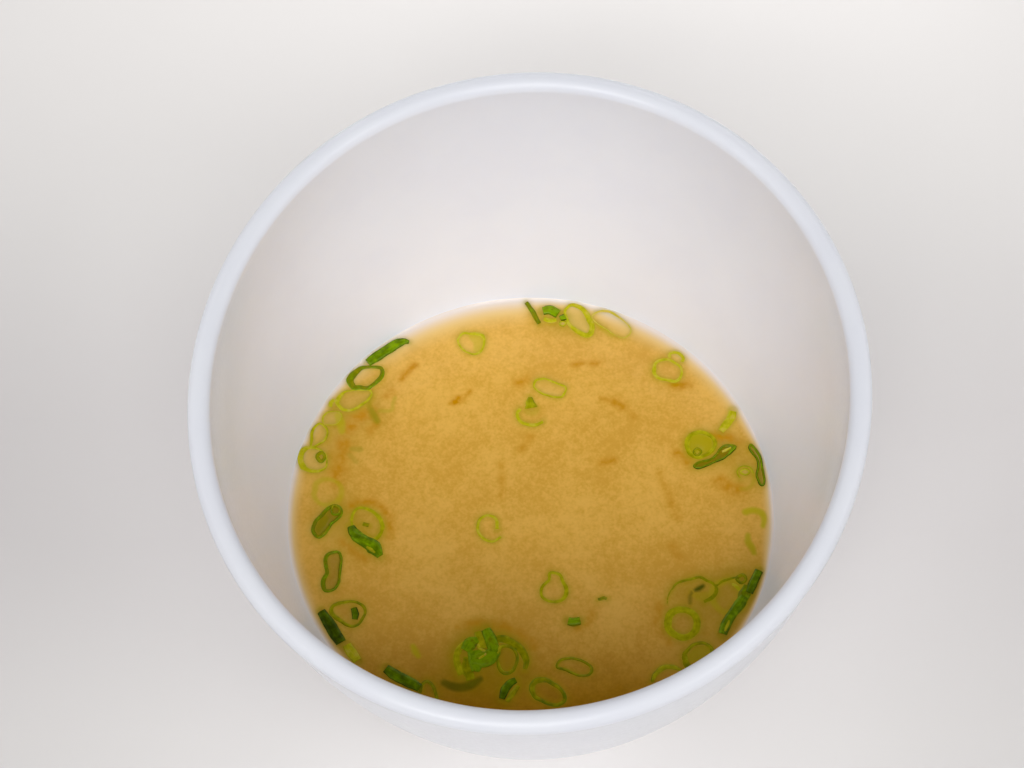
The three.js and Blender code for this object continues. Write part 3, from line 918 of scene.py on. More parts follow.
# Small slices and scraps on the right, from the far side to the near side
RIGHT_SLICES: tuple[Slice, ...] = (
    arc(
        Tone.LIME, Tone.LIME, 0.1, (0.9,),
        (30.5, 32.5), (30.8, 33.3), (30.2, 34.2), (29.2, 34.6), (28.2, 34.3), (28, 33.4),
    ),
    ring(
        Tone.LIME, Tone.LIME, 0.1, 0.05, (1.2, 1.1, 1, 0.8, 0.8, 0.7, 0.7, 0.8, 1, 1, 1, 1.2),
        (24.9, 30.6), (25.2, 32.1), (26.2, 32.9), (27.8, 33), (29.1, 32.3), (30.1, 31.4), (30.4, 30.3),
        (30, 29), (29, 28.2), (27.6, 28.5), (26, 28.9), (25.1, 29.7),
    ),
    strip(
        Tone.LIME, Tone.LIME, 0.15, (1.8, 2.2, 2, 1.4),
        (40.1, 21.6), (39.7, 20.1), (38.6, 18.6), (37.6, 17.3),
    ),
    ring(
        Tone.OLIVE, Tone.YELLOW_OLIVE, 0.12, 0, (1.4, 1.4, 1.2, 1, 1, 1, 1.2, 1.2, 1.4, 1.4),
        (30.9, 14.8), (31.5, 16.3), (33.1, 17.1), (34.7, 16.8), (36, 15.8), (36.3, 14.3), (35.3, 12.8),
        (33.3, 11.8), (31.7, 12.3), (31, 13.3),
    ),
    ring(
        Tone.GREEN, Tone.OLIVE, 0.2, 0.3, (0.6,),
        (32.1, 12.9), (32.7, 12.1), (33.5, 12.9), (32.8, 13.6),
    ),
    arc(
        Tone.OLIVE, Tone.YELLOW_OLIVE, 0.12, (0.5,),
        (43.5, 8.2), (43.1, 9.2), (42, 9.7), (40.8, 9.3), (40.4, 8.3), (40.9, 7.2),
    ),
    ring(Tone.OLIVE, Tone.LIME, 0.15, 0.4, (0.5,), (41, 8.5), (41.9, 7.8), (42.8, 8.4), (42, 9.1)),
    arc(
        Tone.OLIVE, Tone.OLIVE, 0.12, (0.6, 0.8, 0.8, 0.6, 0.8, 0.8, 0.8, 0.8, 0.7, 0.6, 0.5),
        (39.6, -13.6), (38.1, -13.9), (36.5, -14.5), (35.3, -15.3), (34.6, -14.7), (33.4, -14.1),
        (32.3, -13.5), (30.8, -13.8), (29.2, -14.2), (27.7, -14.8), (26.8, -16),
    ),
    strip(
        Tone.OLIVE, Tone.OLIVE, 0.12, (0.8, 1.2, 1.2, 0.8),
        (35.3, -15.1), (35.3, -16.6), (34.4, -17.8), (32.9, -18.6),
    ),
    strip(Tone.OLIVE, Tone.OLIVE, 0.1, (0.5, 0.4, 0.3), (26.8, -16), (26, -17.5), (25.8, -18.9)),
    ring(
        Tone.MOSS, Tone.OLIVE, 0.25, -0.4, (0.7,),
        (39.4, -13.8), (40.1, -14.8), (41.1, -14.2), (40.6, -13.2),
    ),
    ring(
        Tone.OLIVE, Tone.YELLOW_OLIVE, 0.12, -0.15, (2, 2, 1.9, 1.8, 1.8, 1.8, 1.8, 1.8, 1.8, 1.9, 2),
        (25.9, -22.6), (26.3, -21), (27.7, -20.2), (29.4, -20.2), (30.9, -21.2), (31.4, -22.7),
        (31.1, -24.3), (29.9, -25.5), (28.4, -25.8), (26.7, -25), (25.9, -24),
    ),
    strip(Tone.GREEN, Tone.MOSS, 0.3, (1.6, 2.6, 1.8), (41.4, -15.4), (40.8, -16.9), (39.9, -18.9)),
    strip(Tone.LIME, Tone.LIME, 0.1, (0.8, 1.2, 0.8), (38.4, -15), (39.1, -15.4), (39.9, -16.5)),
)

# Small slices along the near edge
NEAR_SLICES: tuple[Slice, ...] = (
    arc(
        Tone.MOSS, Tone.OLIVE, 0.2, (0.7,),
        (-18.3, -37.6), (-18.6, -36), (-19.2, -34.6), (-20.2, -33.9), (-21.1, -34.6), (-21.5, -36.2),
    ),
    strip(
        Tone.DARK, Tone.LEAF, 0.3, (1.2, 1.8, 1.8, 1.2),
        (-3.3, -33.9), (-4.5, -34.6), (-5.4, -35.8), (-6, -37.6),
    ),
    strip(
        Tone.OLIVE, Tone.YELLOW_OLIVE, 0.2, (0.8, 1.3, 0.8),
        (-2.9, -35.1), (-3.9, -36.5), (-5.1, -38.2),
    ),
    ring(
        Tone.MOSS, Tone.OLIVE, 0.2, -0.1, (0.6, 0.6, 0.6, 0.6, 0.6, 0.6, 0.7, 0.6, 0.6, 0.6, 0.6),
        (4.5, -31.4), (5.1, -30.2), (6.4, -29.7), (8, -29.8), (9.5, -30.4), (10.8, -31.3), (11.1, -32.3),
        (10.3, -33.1), (8.8, -33.2), (7.3, -32.6), (6.2, -32),
    ),
    ring(
        Tone.LEAF, Tone.OLIVE, 0.2, -0.1, (1.2, 1.2, 1.2, 1, 0.9, 0.8, 0.8, 0.8, 0.8, 0.8, 0.8, 1),
        (-0.3, -35.9), (-0.1, -34.7), (0.9, -34), (2.4, -34), (3.7, -34.8), (5, -35.8), (5.7, -37),
        (5.7, -38.2), (4.5, -39), (3, -38.8), (1.4, -38), (0.2, -37.3),
    ),
    arc(
        Tone.MOSS, Tone.YELLOW_OLIVE, 0.2, (0.6, 1, 1.2, 1.2, 1, 0.6),
        (28, -32.4), (26.9, -31.9), (25.5, -31.7), (24.2, -32.1), (23, -33.3), (22.4, -34.7),
    ),
    ring(
        Tone.MOSS, Tone.OLIVE, 0.15, 0, (1.4, 0.9, 0.8, 0.8, 0.8, 0.8, 1, 1.2, 1.4, 1.6),
        (28.8, -29.5), (29.5, -28.3), (30.6, -27.3), (32.2, -27), (33.5, -27.6), (34, -28.6), (33.4, -30),
        (32, -31.2), (30.5, -32), (29.2, -31.4),
    ),
)

# Slices that show only from under the surface
SUNK_SLICES: tuple[Slice, ...] = (
    sunk_strip(
        Tone.OLIVE, 0.5, (0.6, 0.8, 0.8, 0.8, 0.6),
        (-31, 26.3), (-31.4, 24.8), (-31.2, 23), (-30.6, 21.3), (-29.8, 20.2),
    ),
    sunk_strip(Tone.OLIVE, 0.75, (0.8, 1.2, 1), (-31, 23.2), (-30.4, 21.9), (-29.8, 20.6)),
    sunk_strip(
        Tone.YELLOW_OLIVE, 0.45, (0.6, 0.6, 0.5, 0.5),
        (-29.4, 22.8), (-27.1, 22.9), (-26.7, 24.3), (-26.3, 25.6),
    ),
    sunk_strip(Tone.LIME, 0.7, (1.2, 1.6, 1.2), (-37.5, 21.8), (-36.9, 20.1), (-36.7, 18.6)),
    sunk_strip(Tone.OLIVE, 0.4, (0.8, 1), (-34.7, 14.7), (-33.1, 14.6)),
    sunk_strip(Tone.OLIVE, 0.25, (0.8,), (-35.1, 13.4), (-33.9, 11.9)),
    sunk_ring(
        Tone.LIME, 0.55, (1, 0.8, 0.6, 0.8, 1, 1, 0.8, 0.6, 0.8, 1),
        (-41.5, 7.5), (-39.9, 8.3), (-38.1, 7.9), (-36.8, 6.6), (-36.8, 4.7), (-37.7, 3.4), (-39.5, 2.8),
        (-41, 3.3), (-42, 4.8), (-41.8, 6.2),
    ),
    sunk_strip(Tone.LIME, 0.8, (0.8, 1.2, 0.8), (-22.8, -26.7), (-22.4, -27.7), (-21.8, -28.7)),
    sunk_strip(
        Tone.LEAF, 0.7, (1.2, 1.6, 1.6, 1.6, 1),
        (-16.9, -34.2), (-15.4, -34.9), (-13.7, -35.2), (-11.8, -34.7), (-10.1, -33.6),
    ),
    sunk_strip(Tone.LIME, 0.5, (1.8, 2.6, 1.8), (-10.6, 38.7), (-9.6, 37.6), (-9.8, 36)),
    sunk_strip(Tone.MOSS, 0.7, (1.8, 1.6), (-40.6, -2.2), (-39.8, -0.3)),
    sunk_strip(
        Tone.LIME, 0.85, (1.2, 1.2, 1.2, 1.2, 1, 0.8),
        (41.7, 0), (42.9, 0.3), (44.3, 0), (45, -0.7), (45.2, -1.8), (44.9, -3),
    ),
    sunk_strip(
        Tone.YELLOW_OLIVE, 0.8, (0.8, 1.2, 1.2, 0.8),
        (41.9, -4.9), (41.9, -6.3), (42.6, -7.6), (42.9, -8.6),
    ),
    sunk_strip(
        Tone.YELLOW_OLIVE, 0.4, (0.6,),
        (43.3, 8.9), (43.6, 7.6), (43.4, 6.1), (42.4, 5), (41, 4.9),
    ),
    sunk_strip(Tone.YELLOW_OLIVE, 0.9, (4, 4.6, 4), (32.6, 14.6), (33.6, 14.8), (34.6, 14.4)),
    sunk_strip(Tone.YELLOW_OLIVE, 0.4, (1.4, 1.8, 1.4), (30.8, -16.7), (32.2, -17.4), (33.5, -17.2)),
    sunk_strip(Tone.DARK, 0.95, (0.6, 0.9, 0.6), (31.4, -16.1), (32.2, -15.7), (32.8, -15.3)),
    sunk_strip(Tone.LEAF, 0.6, (0.5, 0.6, 0.4), (30.7, -16.5), (30.3, -17.5), (30.2, -18.8)),
    sunk_ring(
        Tone.LIME, 0.5, (1.2, 1.2, 1, 1, 1.2, 1.2, 1, 1),
        (34.4, -17.8), (35.1, -15.5), (37.3, -14.3), (39.6, -14.8), (40.8, -16.9), (40.3, -19.5),
        (38.3, -20.9), (35.9, -20.3),
    ),
    sunk_strip(Tone.YELLOW_OLIVE, 0.65, (2, 2.8, 1.8), (30.4, -29.8), (31.7, -29), (33.1, -28.4)),
    sunk_strip(Tone.LIME, 0.3, (0.6,), (12.5, 41.6), (14.5, 40.3), (16.8, 38.4)),
)

# Large pieces: the bands that make each one
LARGE_PIECES: dict[str, tuple[Slice, ...]] = {
    "strip_far_left": (
        strip(
            Tone.LEAF, 0.75, 0.5, (1.6, 2.2, 2.2, 2.2, 2, 0.7),
            (-31.7, 33.3), (-29.7, 34.8), (-27.7, 36.2), (-25.9, 37.4), (-24.5, 37.9), (-23.5, 37.7),
        ),
    ),
    "strip_left": (
        strip(
            Tone.DARK, 0.93, 0.5, (1.8, 2.4, 2.5, 2.2),
            (-40.3, -19.4), (-39, -21.5), (-37.7, -23.8), (-36.5, -25.8),
        ),
    ),
    "strip_near_left": (
        strip(
            Tone.DARK, Tone.LEAF, 0.5, (1.8, 2.4, 2.4, 2.3, 1.8),
            (-27.9, -31.2), (-26.2, -32.5), (-24.5, -33.5), (-23, -34.3), (-21.5, -35.2),
        ),
    ),
    "strip_right": (
        strip(
            Tone.DARK, Tone.LEAF, 0.5, (1.7, 1.8, 1.9, 1.6),
            (43.7, -12.4), (42.8, -14.2), (42, -15.9), (41.6, -16.9),
        ),
    ),
    "strip_near_right": (
        strip(
            Tone.LEAF, 0.74, 0.45, (1.8, 2.4, 2, 2, 2.2, 1.8),
            (40.6, -17.7), (39.7, -19.1), (38.5, -20.7), (37.5, -22.2), (36.7, -23.8), (36.2, -25.2),
        ),
        strip(Tone.OLIVE, Tone.LIME, 0.5, (0.6, 1.1, 0.6), (37.5, -22.6), (37, -23.8), (36.6, -24.8)),
    ),
    "leaf_left": (
        strip(
            Tone.LEAF, 0.76, 0.4, (1.6, 2.6, 2.6, 3.4, 1.4),
            (-34.8, -1.9), (-33.8, -3.6), (-32.4, -4.8), (-30.7, -5.9), (-29.1, -8.1),
        ),
        strip(Tone.DARK, Tone.LEAF, 0.5, (1.2, 1.8, 1.2), (-34.9, -1.9), (-34.4, -3.2), (-33, -4.2)),
        strip(
            Tone.OLIVE, Tone.YELLOW_OLIVE, 0.46, (0.6, 1, 0.6),
            (-31.7, -6.2), (-30.9, -6.8), (-30.1, -7.5),
        ),
    ),
    "twist_right": (
        ring(
            Tone.DARK, Tone.MOSS, 0.4, -0.9,
            (0.8, 0.8, 0.5, 0.5, 0.5, 0.5, 0.5, 0.5, 0.5, 0.5, 0.5, 0.5, 0.5, 0.5, 0.5, 0.8),
            (40.2, 13.8), (38.8, 14.1), (37.9, 13.9), (37.1, 13.2), (36.6, 12.3), (35.6, 11.4),
            (34.2, 10.9), (32.8, 10.5), (32, 9.8), (32.8, 9.4), (34, 9.7), (35.4, 10.4), (36.6, 10.9),
            (37.8, 11.4), (38.8, 12.2), (39.6, 13.1),
        ),
        # Painted highlight: this pale strip stands for a glint on the wet twist
        strip(Tone.LIME, Tone.PALE, 0.45, (0.5, 0.7, 0.4), (37.6, 12.8), (38.6, 13.3), (39.4, 13.6)),
    ),
    "fold_right": (
        ring(
            Tone.DARK, Tone.MOSS, 0.4, -0.6, (0.5,),
            (43.2, 14.2), (43, 13.4), (43.6, 12.4), (44.3, 11.4), (44.6, 10.3), (44.5, 9.1), (44.2, 7.8),
            (44.4, 6.7), (44.7, 5.9), (45.1, 5.5), (45.5, 5.8), (45.6, 6.7), (45.5, 8), (45.3, 9.3),
            (45.2, 10.5), (44.9, 11.8), (44.2, 13.1), (43.5, 14.1),
        ),
    ),
    "ring_far_left": (
        ring(
            Tone.LEAF, Tone.MOSS, 0.3, 0,
            (1.6, 1.6, 1.3, 0.9, 0.7, 0.7, 0.8, 1, 1, 0.9, 0.8, 1, 1.2, 1.4),
            (-35.2, 29.4), (-34.8, 30.5), (-33.6, 31.7), (-32.8, 32.2), (-31.3, 32.4), (-29.7, 32.3),
            (-28.9, 31.9), (-28.8, 30.8), (-29.3, 29.8), (-30.2, 28.9), (-30.9, 28.3), (-31.8, 27.7),
            (-33.2, 27.9), (-34.4, 28),
        ),
    ),
    "fold_left": (
        ring(
            Tone.LEAF, Tone.MOSS, 0.4, -0.6,
            (0.8, 0.8, 0.8, 0.8, 0.8, 0.7, 0.7, 0.7, 0.7, 0.7, 0.7, 0.7, 0.8, 0.8),
            (-41.9, -3), (-42.1, -2.2), (-41.6, -0.7), (-40.4, 0.7), (-39.3, 2), (-38.3, 2.5),
            (-37.3, 2.4), (-36.7, 1.5), (-36.9, 0.5), (-37.7, -0.4), (-38.6, -1.2), (-39.4, -2.5),
            (-40.2, -3.5), (-41.1, -3.9),
        ),
    ),
    "ring_left": (
        ring(
            Tone.LEAF, Tone.MOSS, 0.4, -0.5,
            (0.8, 1, 0.9, 0.8, 0.8, 0.8, 0.7, 0.6, 0.6, 0.6, 0.6, 0.6, 0.6, 0.6),
            (-39.5, -15.1), (-40, -13.9), (-39.9, -12.7), (-39.3, -11.4), (-39.5, -10), (-39.6, -8.5),
            (-39, -7.5), (-37.8, -7.1), (-36.9, -7.4), (-36.6, -8.8), (-36.8, -10.2), (-36.9, -11.9),
            (-37.1, -13.5), (-37.9, -14.8),
        ),
    ),
    "scallion_clump": (
        strip(
            Tone.OLIVE, Tone.YELLOW_OLIVE, 0.12, (1.4, 2.2, 2.2, 1.6),
            (-13.1, -26.2), (-14.2, -27.8), (-14.4, -30.1), (-13.7, -32.7),
        ),
        strip(
            Tone.OLIVE, Tone.OLIVE, 0.16, (2.2, 3, 2.2),
            (-12.5, -29.1), (-12.6, -31.3), (-11.8, -33.7),
        ),
        strip(
            Tone.MOSS, Tone.OLIVE, 0.16, (2.4, 2.2, 2.2, 2.2, 1.8, 1),
            (-7.6, -25.9), (-5.7, -25.5), (-3.6, -26.6), (-2.1, -28), (-1.3, -29.9), (-1.6, -31.7),
        ),
        ring(
            Tone.LEAF, Tone.OLIVE, 0.2, -0.05, (0.8, 1, 0.8, 0.7, 0.7, 0.8, 1, 1, 0.8),
            (-6.8, -28.8), (-6.3, -27.4), (-4.9, -27), (-3.6, -27.8), (-3, -29.2), (-3.3, -30.8),
            (-4.2, -32.2), (-5.6, -32.4), (-6.5, -31.2),
        ),
        strip(
            Tone.OLIVE, Tone.YELLOW_OLIVE, 0.3, (1.6, 2.4, 2),
            (-10.4, -24), (-10, -25.7), (-9.7, -27.5),
        ),
        strip(Tone.GREEN, Tone.GREEN, 0.4, (2.2, 3, 1.6), (-12.9, -27.8), (-11.9, -26.4), (-10.4, -25.7)),
        strip(Tone.GREEN, Tone.GREEN, 0.45, (3.2, 3.4, 1.6), (-11, -27.9), (-10.8, -29.9), (-11, -32.1)),
        strip(Tone.LIME, Tone.LIME, 0.5, (0.6, 0.8, 0.6), (-10.4, -26.7), (-10.1, -27.5), (-9.1, -28.1)),
        strip(
            Tone.LEAF, Tone.GREEN, 0.65, (2, 2.4, 2.4, 2.2),
            (-8.9, -23.6), (-8.3, -24.9), (-7.8, -26.3), (-7.4, -27.9),
        ),
        strip(
            Tone.GREEN, Tone.GREEN, 0.6, (2.2, 3.4, 3.4, 2),
            (-11.8, -29.5), (-10.3, -29.7), (-8.6, -29.3), (-6.8, -27.7),
        ),
        # Painted highlights: these two pale strips on top of the clump stand for glints on the wet leaf
        strip(Tone.LIME, Tone.LIME, 0.72, (0.5, 0.8, 0.5), (-10.3, -29.7), (-9.7, -29.3), (-9.2, -29)),
        strip(Tone.LIME, Tone.PALE, 0.72, (0.6,), (-9.2, -29), (-8.9, -28.7)),
        strip(
            Tone.YELLOW_OLIVE, Tone.LIME, 0.6, (0.6, 0.9, 0.6),
            (-6.8, -28.6), (-6.5, -28), (-6.2, -27.1),
        ),
    ),
}


@dataclass(frozen=True)
class Drift:
    """A brown drift of miso in the broth: a soft stroke along a line, in millimetres."""

    line: Line
    width: float
    strength: float


DRIFTS: tuple[Drift, ...] = (
    Drift(((-25, 29.8), (-23.8, 31.4), (-22.4, 32.6)), 0.9, 0.7),
    Drift(((-28, 26), (-26.6, 27.2)), 0.9, 0.4),
    Drift(((-35.2, 19.2), (-33.6, 21.2), (-31.2, 22.2)), 1.5, 0.7),
    Drift(((-14.4, 24.6), (-13.4, 25.2)), 1, 0.9),
    Drift(((-15.6, 24.2), (-13.5, 25), (-11.4, 26.8)), 0.5, 0.6),
    Drift(((-2, 28.4), (-0.4, 28.9)), 1, 0.6),
    Drift(((8.8, 32.2), (11.5, 32.6), (14.6, 32.4)), 0.7, 0.6),
    Drift(((17, 24), (18.4, 23)), 1, 0.7),
    Drift(((14.4, 24.8), (18, 23.4), (21, 20.4)), 0.6, 0.45),
    Drift(((14, 11), (16.4, 11.4)), 0.8, 0.6),
    Drift(((29, 27.6), (31.4, 27.4)), 1.1, 0.8),
    Drift(((-31.2, 18.6), (-30, 20.2)), 0.9, 0.5),
    Drift(((-5.8, 11), (-5.4, 7.6), (-5.7, 4)), 0.8, 0.4),
    Drift(((0.2, 16.6), (-0.6, 15.2), (-1.5, 14)), 0.8, 0.4),
    Drift(((25.4, 8.4), (26.6, 4.2), (28.4, -1)), 0.9, 0.4),
    Drift(((27.2, -6.8), (27.5, -8.2), (28.4, -9.6)), 0.9, 0.4),
    Drift(((36, 15.8), (38.2, 16), (40.4, 14.8)), 1.2, 0.7),
    Drift(((29, 12.4), (30.6, 11)), 1.2, 0.7),
    Drift(((37, 6.6), (38.6, 5.2), (40.6, 4.4)), 1.5, 0.6),
    Drift(((-37.8, 8), (-37, 12), (-36.4, 16)), 1.6, 0.6),
    Drift(((-34.6, 2.6), (-31, 3.4), (-27.6, 0.6), (-27.4, -4)), 1, 0.6),
    Drift(((-36.2, -5), (-34.6, -6.8), (-32, -8.6)), 1, 0.4),
    Drift(((8.6, -23.6), (10.2, -22.6), (11.4, -20.8)), 0.9, 0.5),
    Drift(((-13.8, -22.8), (-10, -22.2), (-3.4, -23.6), (0, -27)), 1.1, 0.45),
    Drift(((24.4, -18.8), (24, -23), (26, -26.6)), 1, 0.45),
)


def distance_to(path: Array, places: Array, closed: bool = False) -> tuple[Array, Array]:
    """Measures how far places lie from a path.

    Args:
        path: The path's points.
        places: The places to measure from.
        closed: Whether the path's last point joins its first.

    Returns:
        The distance of each place, and how far along the path its nearest point is, in points.
    """
    starts = path if closed else path[:-1]
    ends = np.roll(path, -1, axis=0) if closed else path[1:]
    nearest = np.full(len(places), np.inf)
    reached = np.zeros(len(places))
    for index, (start, end) in enumerate(zip(starts, ends)):
        step = end - start
        share = np.clip((places - start) @ step / (step @ step), 0, 1)
        gap = np.linalg.norm(places - start - share[:, None] * step, axis=1)
        closer = gap < nearest
        nearest[closer] = gap[closer]
        reached[closer] = index + share[closer]
    return nearest, reached


def is_inside(path: Array, places: Array) -> Array:
    """Returns which places lie inside a closed path, by the even-odd rule."""
    inside = np.zeros(len(places), dtype=bool)
    across, up = places.T
    for start, end in zip(path, np.roll(path, -1, axis=0)):
        crosses = (start[1] > up) != (end[1] > up)
        rise = end[1] - start[1]
        if rise != 0:
            inside ^= crosses & (across < start[0] + (up - start[1]) * (end[0] - start[0]) / rise)
    return inside


def eased(value: Array, low: float, high: float) -> Array:
    """Returns 0 below low, 1 above high and a smooth step between them."""
    share = np.clip((value - low) / (high - low), 0, 1)
    return share * share * (3 - 2 * share)


@dataclass
class Soup:
    """The broth: a closed body from the bowl's floor up to its surface, which climbs a little at the wall.

    Its mesh carries what the material needs at each point: `brim` is 1 at the wall and fades inwards,
    `drift` is brown miso, `film` the pale skin inside a slice, `halo` the green that shines through round
    one, `slice_dark` a darker gold round and between floating slices, and `sunk` a slice under the surface.
    The surface clings to each floating slice, which lifts it by `cling_rise`.
    """

    shape: WallShape
    floating: tuple[Slice, ...]
    sunk: tuple[Slice, ...] = SUNK_SLICES
    drifts: tuple[Drift, ...] = DRIFTS
    finish: BrothFinish = field(default_factory=BrothFinish)
    rings: int = 150
    crowding: float = 0.12
    under_steps: int = 9
    bite: float = 0.05
    cling_rise: float = 0.1
    cling_run: float = 0.35
    cling_reach: float = 9.0
    mark_reach: float = 14.0
    drift_stations: int = 10
    halo: float = 0.48
    halo_run: float = 0.45
    # These make the broth a darker gold round and between floating slices, the more so where many lie close
    slice_dark: float = 0.6
    slice_dark_run: float = 3.0
    slice_dark_each: float = 0.25
    slice_dark_span: Span = (0.25, 1.2)
    slice_dark_thinning: float = 2.2
    sunk_span: Span = (-0.3, 0.45)
    side_fade: float = 1.15
    far_fade: float = 2.9
    far_heading: float = 100.0

    def surface(self) -> Array:
        """Returns the surface's points, ring k with 6k of them, the rings closer together at the wall."""
        radius = self.shape.brim_radius + self.bite
        points = [np.zeros((1, 2))]
        for ring_index in range(1, self.rings + 1):
            share = ring_index / self.rings
            reach = radius * (share + self.crowding * math.sin(math.pi * share) * share)
            count = SECTORS * ring_index
            angle = math.tau * np.arange(count) / count
            points.append(reach * np.stack([np.cos(angle), np.sin(angle)], axis=1))
        return np.vstack(points)

    def surface_faces(self) -> list[tuple[int, ...]]:
        """Returns the triangles that join each ring to the next."""
        faces = [(0, 1 + k, 1 + (k + 1) % SECTORS) for k in range(SECTORS)]
        for steps in range(1, self.rings):
            inner = 1 + SECTORS * steps * (steps - 1) // 2
            outer = 1 + SECTORS * steps * (steps + 1) // 2
            inner_count = SECTORS * steps
            outer_count = SECTORS * (steps + 1)
            for sector in range(SECTORS):
                for k in range(steps + 1):
                    low = outer + (sector * (steps + 1) + k) % outer_count
                    high = outer + (sector * (steps + 1) + k + 1) % outer_count
                    mid = inner + (sector * steps + k) % inner_count
                    faces.append((mid, low, high))
                    if k < steps:
                        faces.append((mid, high, inner + (sector * steps + k + 1) % inner_count))
        return faces

    def heights(self, flat: Array) -> Array:
        """Returns the surface's height: level, but for its climb at the wall and round what floats."""
        height = self.shape.climb(np.linalg.norm(flat, axis=1))
        cling = np.zeros(len(flat))
        for piece in self.floating:
            path = piece.path()
            near = np.linalg.norm(flat - path.mean(axis=0), axis=1) < self.cling_reach
            away, _ = distance_to(path, flat[near], piece.closed)
            edge = np.abs(away - piece.half_widths().mean())
            cling[near] = np.maximum(cling[near], self.cling_rise * np.exp(-edge / self.cling_run))
        return self.shape.soup_level + height + cling

    def brim(self, flat: Array) -> Array:
        """Returns how pale the surface is by the wall, which reaches further inwards on the far side."""
        radius = np.linalg.norm(flat, axis=1)
        nonzero = np.maximum(radius, 1e-6)
        far = np.clip(flat @ heading(self.far_heading) / nonzero, 0, 1)
        fade = self.side_fade + (self.far_fade - self.side_fade) * far**2
        return np.exp(-(radius.max() - radius) / fade)

    def marks(self, flat: Array) -> dict[str, Array]:
        """Works out the attributes of the surface's points.

        Args:
            flat: The points, two numbers each.

        Returns:
            The values of each attribute, by its name.
        """
        drift, film, halo, sunk, slice_dark, tone = (np.zeros(len(flat)) for _ in range(6))
        for stroke in self.drifts:
            away, _ = distance_to(smooth_line(stroke.line, self.drift_stations), flat)
            drift = np.maximum(drift, stroke.strength * np.exp(-((away / stroke.width) ** 2)))
        for piece in (*self.floating, *self.sunk):
            path = piece.path()
            near = np.linalg.norm(flat - path.mean(axis=0), axis=1) < self.mark_reach
            if piece.film != 0:
                film[near] = np.where(is_inside(path, flat[near]), piece.film, film[near])
            away, along = distance_to(path, flat[near], piece.closed)
            beyond = away - np.interp(along, np.arange(piece.stations), piece.half_widths())
            slice_dark[near] += self.slice_dark_each * np.exp(-np.maximum(beyond, 0) / self.slice_dark_run)
            if piece.sunk > 0:
                share = piece.sunk * (1 - eased(beyond, *self.sunk_span))
                tone[near] = np.where(share > sunk[near], float(piece.skin), tone[near])
                sunk[near] = np.maximum(sunk[near], share)
            else:
                glow = self.halo * np.exp(-np.maximum(beyond, 0) / self.halo_run)
                halo[near] = np.maximum(halo[near], glow)
        slice_dark = self.slice_dark * eased(slice_dark, *self.slice_dark_span)
        return {
            "brim": self.brim(flat) ** (1 + self.slice_dark_thinning * slice_dark),
            "drift": drift,
            "film": film,
            "halo": halo,
            "sunk": sunk,
            "sunk_tone": tone,
            "slice_dark": slice_dark,
        }

    def build(self) -> Object:
        """Returns the finished soup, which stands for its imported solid."""
        flat = self.surface()
        faces = self.surface_faces()
        edge_count = SECTORS * self.rings
        edge = flat[-edge_count:] / np.linalg.norm(flat[-edge_count:], axis=1)[:, None]
        wall = self.shape.face(self.bite, self.under_steps, 1)
        under = [place for place in wall if place[1] <= self.shape.soup_level + LEVEL_SLACK]
        points = [np.column_stack([flat, self.heights(flat)])]
        last = len(flat) - edge_count
        for radius, height in reversed(under):
            start = sum(len(block) for block in points)
            points.append(np.column_stack([edge * radius, np.full(edge_count, height)]))
            for k in range(edge_count):
                n = (k + 1) % edge_count
                faces.append((last + k, start + k, start + n, last + n))
            last = start
        bottom = sum(len(block) for block in points)
        points.append(np.array([[0.0, 0.0, under[0][1]]]))
        faces.extend((last + k, bottom, last + (k + 1) % edge_count) for k in range(edge_count))
        made = mesh_object("miso_broth", np.vstack(points), faces)
        face_outwards(made.data)
        crease_edges(made.data, len(flat) - edge_count, len(flat))
        count = len(made.data.vertices)
        for name, values in self.marks(flat).items():
            full = np.zeros(count, dtype=np.float32)
            full[: len(values)] = values
            made.data.attributes.new(name, "FLOAT", "POINT").data.foreach_set("value", full)
        made.data.materials.append(self.finish.material())
        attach(made, BODY)
        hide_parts("soup")
        return made


